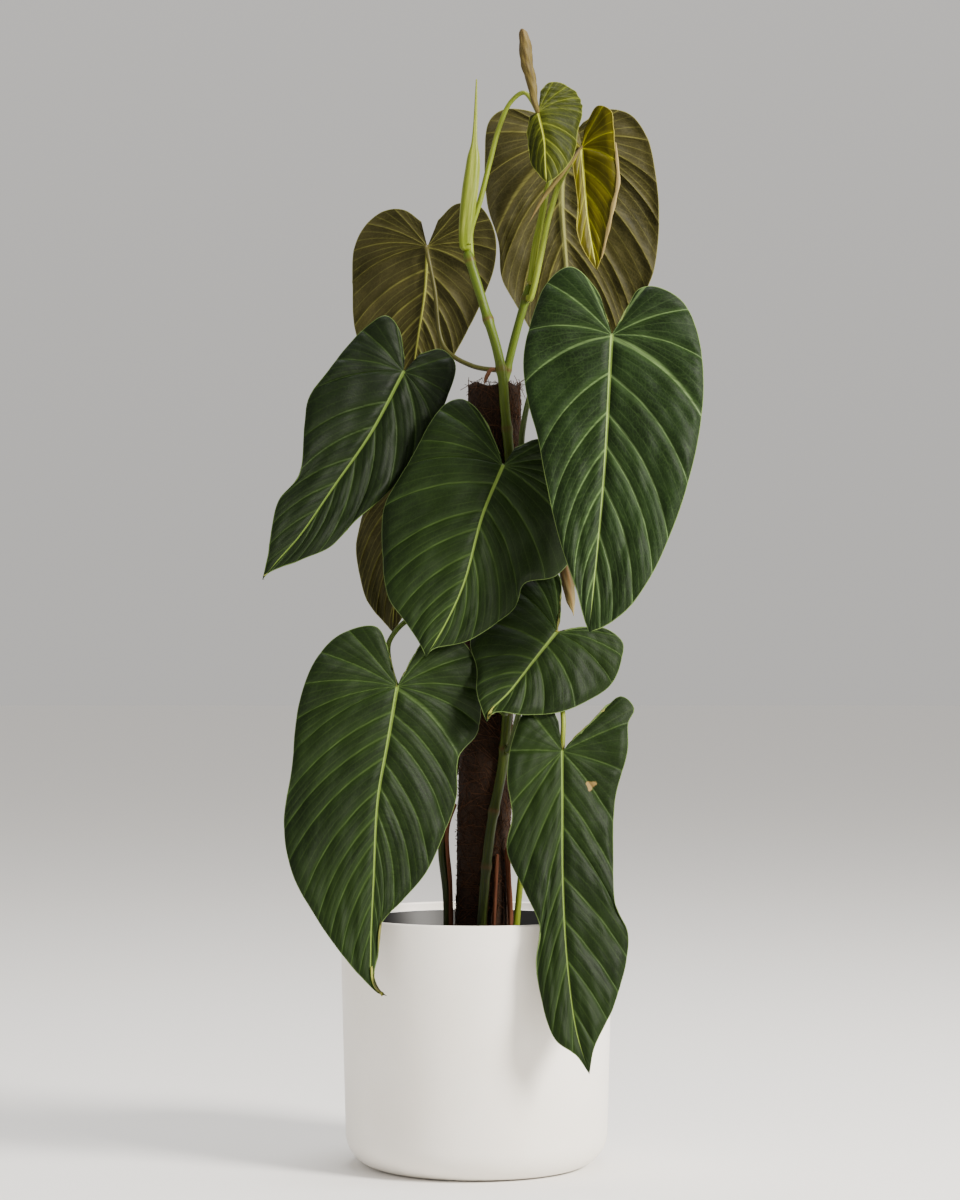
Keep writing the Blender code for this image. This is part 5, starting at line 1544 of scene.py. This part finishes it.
class Plant:
    """Two vines on the pole with all that grows from them."""

    def __init__(self) -> None:
        """Lay out both vines."""
        climb = [(-20, -100), (63, -80), (125, -58), (245, -48), (355, -56), (TOP - 17, -72), (TOP + 2, -76)]
        route = [beside_pole(RIM + z * MM, degrees, VINE_RADIUS) for z, degrees in climb]
        route[0][2] = SOIL_TOP - ROOT_DEPTH
        route += [on_plant(17, -22, TOP + 26), on_plant(6, -15, TOP + 63), on_plant(-8, -12, TOP + 109)]
        self.main = Vine(route, VINE_RADIUS)
        climb = [(-20, 188, 0.003), (10, 190, 0.003), (60, 186, 0.008), (135, 150, 0.0), (230, 118, 0.0),
                 (330, 90, 0.0), (TOP - 27, 74, 0.0), (TOP + 2, 72, 0.0)]
        route = [beside_pole(RIM + z * MM, degrees, SECOND_VINE_RADIUS, off) for z, degrees, off in climb]
        route[0][2] = SOIL_TOP - ROOT_DEPTH
        route += [on_plant(28, 23, TOP + 26), on_plant(35, 19, TOP + 53), on_plant(44, 18, TOP + 84)]
        self.second = Vine(route, SECOND_VINE_RADIUS)

    def build_vines(self) -> None:
        """Both vines, swollen and scarred where leaves and sheaths leave them."""
        rings = self.main.rings([40, 85, 135, 165, 225, 285, 300, 345, 395, TOP + 11, TOP + 52, TOP + 101])
        Stem("vine_main_stem", "vine_main", "vine", VINE_SKIN, self.main.route,
             [VINE_RADIUS * k for k in (0.9, 1, 1, 1, 0.95)], rings).build()
        rings = self.second.rings([60, 130, 230, 310, 380, TOP + 14, TOP + 72])
        Stem("vine_second_stem", "vine_second", "vine", VINE_SKIN, self.second.route,
             [SECOND_VINE_RADIUS] * 2, rings).build()

    def build_stalks(self) -> None:
        """One stalk for each blade, from its vine to its junction, swollen at both ends."""
        main, second, grown = self.main, self.second, [0.0028, 0.0022, 0.0020]
        rows = {
            "top_young": (main.leave(TOP + 101, 80), [
                (-5, 0, TOP + 124), (3, 1, TOP + 151), (11, 1, TOP + 183), (19, 0, TOP + 212),
                (28, -2, TOP + 231), (39, -7, TOP + 238)], [0.0026, 0.0022, 0.0017]),
            "top_bronze": (second.leave(TOP + 72, -60), [
                (53, 12, TOP + 108), (58, 12, TOP + 133), (63, 12, TOP + 151), (68, 12, TOP + 166),
                (77, 10, TOP + 182)], [0.0026, 0.0024, 0.0018]),
            "top_back": (second.go_on(), [
                (48, 21, TOP + 112), (53, 23, TOP + 137), (58, 26, TOP + 162), (66, 34, TOP + 186)],
                [0.0034, 0.0030, 0.0022, 0.0018]),
            "upper_left_back": (second.leave(TOP + 14, 150), [
                (-4, 34, TOP + 18), (-27, 41, TOP + 34), (-35, 42, TOP + 83)], [0.0022, 0.0019, 0.0016]),
            "upper_left": (main.leave(300, -120), [(-20, -36, 362), (-44, -30, 415)], grown),
            "centre": (main.leave(285, -95), [(24, -40, 308), (21, -50, 340)], grown),
            "upper_right": (main.leave(345, -20), [(37, -34, 392), (48, -50, 432), (76, -74, 458)], grown),
            "left_back": (second.leave(230, 170), [(-22, 30, 290), (-46, 28, 335)], grown),
            "centre_low": (main.leave(135, -60), [(34, -42, 165), (44, -48, 205)], grown),
            "lower_left": (main.leave(165, -110), [
                (-12, -40, 205), (-46, HANG + 61.5, 243), (-70, HANG + 49.5, 222)], grown),
        }
        for name, (base, middle, radii) in rows.items():
            route = base + [on_plant(*point) for point in middle] + OUTLINES[name].meet()
            fresh = name.startswith("top")
            skin = BRONZE_STALK if name == "upper_left_back" else FRESH_STALK if fresh else OLD_STALK
            Stem("petiole_" + name, "stalk_" + name, "fresh_stalk" if fresh else "stalk", skin, route, radii,
                 STALK_RINGS, STALK_GROOVE, ends=STALK_ENDS).build()
        shoot = [beside_pole(SOIL_TOP - ROOT_DEPTH, -35, 0.0030, 0.004)]
        shoot += [on_plant(*point) for point in [
            (34, -22, 10), (42, -30, 90), (54, -46, 160), (66, HANG + 45.5, 178), (69, HANG + 33.5, 160)]]
        Stem("petiole_lower_right", "stalk_lower_right", "fresh_stalk", FRESH_STALK,
             shoot + OUTLINES["lower_right"].meet(), [0.0030, 0.0024, 0.0020], [(0.97, 0.12, 0.006)],
             STALK_GROOVE, ends=(0.0, STALK_ENDS[1])).build()

    def build_roots(self) -> None:
        """Three roots down the pole into the soil."""
        low = SOIL_TOP - ROOT_DEPTH
        rows = {             # each point's height, its place round the pole and its distance off it
            "root_right": ([(low, -8, 0.002), (RIM - 0.01, -22, 0.001), (RIM + 0.055, -40, 0.0005)],
                           [0.0022, 0.0022]),
            "root_left": ([(low, -150, 0.001), (RIM + 0.02, -158, 0.0035), (RIM + 0.07, -165, 0.006),
                           (RIM + 0.09, -160, 0.0005)], [0.0020, 0.0016]),
            "root_front": ([(low, -72, 0.001), (RIM, -66, 0.0005), (RIM + 0.05, -62, 0.0)],
                           [0.0016, 0.0014]),
        }
        for name, (climb, radii) in rows.items():
            route = [beside_pole(height, degrees, radii[0], off) for height, degrees, off in climb]
            Stem("aerial_" + name, name, "root", ROOT_BARK, route, radii, lumps=0.09, sides=14).build()

    def build_sheaths(self) -> None:
        """The fresh sheath at the growing tip and the withered ones of older leaves."""
        tip = self.main.go_on() + [on_plant(*point) for point in [
            (-7, -13, TOP + 143), (-3, -14, TOP + 178), (-1, -14, TOP + 213), (0, -14, TOP + 248)]]
        Stem("spear", "sheath_tip", "fresh_stalk", SPEAR_SKIN, tip,
             [0.0046, 0.0060, 0.0066, 0.0058, 0.0021, 0.0013, 0.0006], groove=0.22, lumps=0.012, sides=32,
             ends=(0.0016, 0.0)).build()
        stub = self.main.leave(TOP + 11, -170)
        stub += [stub[1] + np.array(step) for step in ([-0.004, -0.001, -0.006], [-0.006, -0.001, -0.013])]
        rows = [
            ("rolled", PALE_SHEATH, OUTLINES["top_young"].leave(), [
                (47, -29, TOP + 228), (44, -30, TOP + 244), (40, -30, TOP + 263), (38, -30, TOP + 286)],
             [0.0016, 0.0036, 0.0050, 0.0056, 0.0036], {"opening": -60, "crumple": 0.16}),
            ("thin", PALE_SHEATH, OUTLINES["top_bronze"].leave(), [
                (80, -9, TOP + 186), (68, -12, TOP + 169), (56, -12, TOP + 154), (43, -12, TOP + 132)],
             [0.0011, 0.0022, 0.0020, 0.0006], {"turns": 1.1}),
            ("hanging", STRIPED_SHEATH, self.main.leave(285, -5), [
                (48, -22, 312), (64, -25, 311), (71, -28, 290), (74, -30, 270), (78, -32, 243)],
             [0.0016, 0.0034, 0.0058, 0.0066, 0.0054, 0.0010],
             {"turns": 1.15, "opening": 170, "slant": 0.12}),
            ("stub", DRY_SHEATH, stub, [], [0.0016, 0.0020, 0.0006], {"turns": 1.1}),
        ]
        for name, skin, base, middle, radii, options in rows:
            RolledSheath(name + "_sheath", "sheath_" + name, "withered", skin,
                         base + [on_plant(*point) for point in middle], radii, **options).build()

    def build_leaves(self) -> None:
        """All eleven blades, each with its slot, its upper and under skin and what sets it apart."""
        rows = {
            "top_young": ("young_leaf", YOUNG_UPPER, YOUNG_UNDER,
                          {"veins": (5, 4), "midrib": (1.1, 0.5), "pleats": 0.7, "quilt": 0.14}),
            "top_bronze": ("young_leaf", BRONZE_UPPER, YOUNG_UNDER,
                           {"veins": (5, 3), "sweep": (0.25, 1.0), "midrib": (1.3, 0.5),
                            "rolled_margin": True}),
            "top_back": ("leaf_underside", DARK_UPPER, BRONZE_UNDER, {"veins": (8, 4), "midrib": (3.4, 0.7)}),
            "upper_left_back": ("leaf_underside", DARK_UPPER, DARK_UNDER, {}),
            # The upper left blade's upper skin has painted shade: it is darkened to stand for the shadow it
            # lies in
            "upper_left": ("leaf", SHADED_UPPER, DARK_UNDER, {"sweep": (0.55, 1.0)}),
            "centre": ("leaf", MATURE_UPPER, DARK_UNDER, {"veins": (8, 5)}),
            "upper_right": ("leaf", DARK_UPPER, DARK_UNDER, {}),
            "left_back": ("leaf_underside", DARK_UPPER, DARK_UNDER, {"veins": (6, 3), "midrib": (1.3, 0.5)}),
            "centre_low": ("leaf", MATURE_UPPER, DARK_UNDER, {"veins": (6, 4)}),
            "lower_left": ("leaf", MATURE_UPPER, DARK_UNDER,
                           {"veins": (11, 6), "sweep": (0.6, 0.8), "calm_tip": 0.5}),
            "lower_right": ("leaf", MATURE_UPPER, DARK_UNDER,
                            {"sweep": (0.25, 0.3), "midrib": (1.1, 0.5), "blemish": (22.0, -27.0)}),
        }
        for seed, (name, (slot, upper, under, options)) in enumerate(rows.items()):
            LeafBlade(name, OUTLINES[name], slot, upper, under, seed=seed, **options).build()


# ---- Studio ----
@dataclass
class Studio:
    """Pale floor that runs into a pale surround, three soft lights and a level camera."""

    ground: str = "#f1efec"
    surround: str = "#efece8"
    strength: float = 0.8       # of the surround overhead
    horizon: float = 0.86       # its share at the horizon
    half_floor: float = 12.0
    distance: float = 2.76
    sideways: float = 0.0028
    height: float = 0.461
    lens: float = 101.22
    aim: tuple[float, float, float] = (0.0, 0.0, 0.45)      # what the lights face

    def build_floor(self) -> None:
        """Large plain floor."""
        material, _ = new_surface("studio_floor")
        close_surface(material, {"Base Color": linear(self.ground), "Roughness": 0.85}, {})
        corners = np.array([(x, y, 0) for x, y in ((-1, -1), (1, -1), (1, 1), (-1, 1))]) * self.half_floor
        Shell(corners, [[0, 1, 2, 3]]).to_object("floor", [material])

    def build_light(self, name: str, place: tuple, size: float, power: float, colour: str) -> None:
        """Add one soft light that faces the plant."""
        data = bpy.data.lights.new(name, "AREA")
        data.shape, data.size, data.energy, data.color = "DISK", size, power, linear(colour)[:3]
        light = add_object(name, data)
        light.location = place
        light.rotation_euler = (Vector(self.aim) - Vector(place)).to_track_quat("-Z", "Y").to_euler()

    def build_world(self) -> None:
        """Surround that is a little darker towards the horizon."""
        world = bpy.data.worlds.new("surround")
        world.use_nodes = True
        tree = world.node_tree
        background = tree.nodes["Background"]
        background.inputs["Color"].default_value = linear(self.surround)
        way = add_node(tree, "ShaderNodeTexCoord").outputs["Generated"]
        height = add_node(tree, "ShaderNodeSeparateXYZ", links={"Vector": way}).outputs["Z"]
        strength = add_node(tree, "ShaderNodeMapRange", {
            "interpolation_type": "SMOOTHSTEP", "From Max": 0.3, "To Min": self.horizon * self.strength,
            "To Max": self.strength}, {"Value": height})
        link(tree, strength, background.inputs["Strength"])
        bpy.context.scene.world = world

    def build(self) -> None:
        """Set up the floor, the lights, the surround and the camera."""
        self.build_floor()
        self.build_light("key", (2.1, -1.5, 1.6), 0.9, 235, "#fffaf2")
        self.build_light("fill", (-1.9, -1.6, 0.9), 1.6, 4, "#f4f7ff")
        self.build_light("top", (0.1, 0.3, 2.4), 1.2, 40, "#ffffff")
        self.build_world()
        data = bpy.data.cameras.new("camera")
        data.lens, data.sensor_width = self.lens, 36.0
        camera = add_object("camera", data)
        camera.location = (self.sideways, -self.distance, self.height)
        camera.rotation_euler = (radians(90), 0, 0)
        bpy.context.scene.camera = camera


def build_stake() -> None:
    """The wooden stake in the pole's bore, from below the sleeve to just under its top."""
    foot = pole_axis(POLE_FOOT)
    slant = np.array([sin(POLE_LEAN), 0, cos(POLE_LEAN)])
    radius, below, under_top = 0.0107, 0.018, 0.003
    line = [foot + slant * reach for reach in (-below, 0.0, 0.3, POLE_LENGTH - under_top)]
    Stem("stake", "pole_stake", "wood", STAKE_WOOD, line, [radius] * 2,
         lumps=0.004, sides=32, step=0.01).build()


def main() -> None:
    """Build the pots, the pole, the plant and the studio."""
    logging.basicConfig(level=logging.INFO, format="%(name)s %(message)s")
    build_cachepot()
    build_nursery_pot()
    SoilFill().build()
    CoirPole().build()
    build_stake()
    plant = Plant()
    plant.build_vines()
    plant.build_stalks()
    plant.build_roots()
    plant.build_sheaths()
    plant.build_leaves()
    Studio().build()
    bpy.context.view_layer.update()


if __name__ == "__main__":
    main()
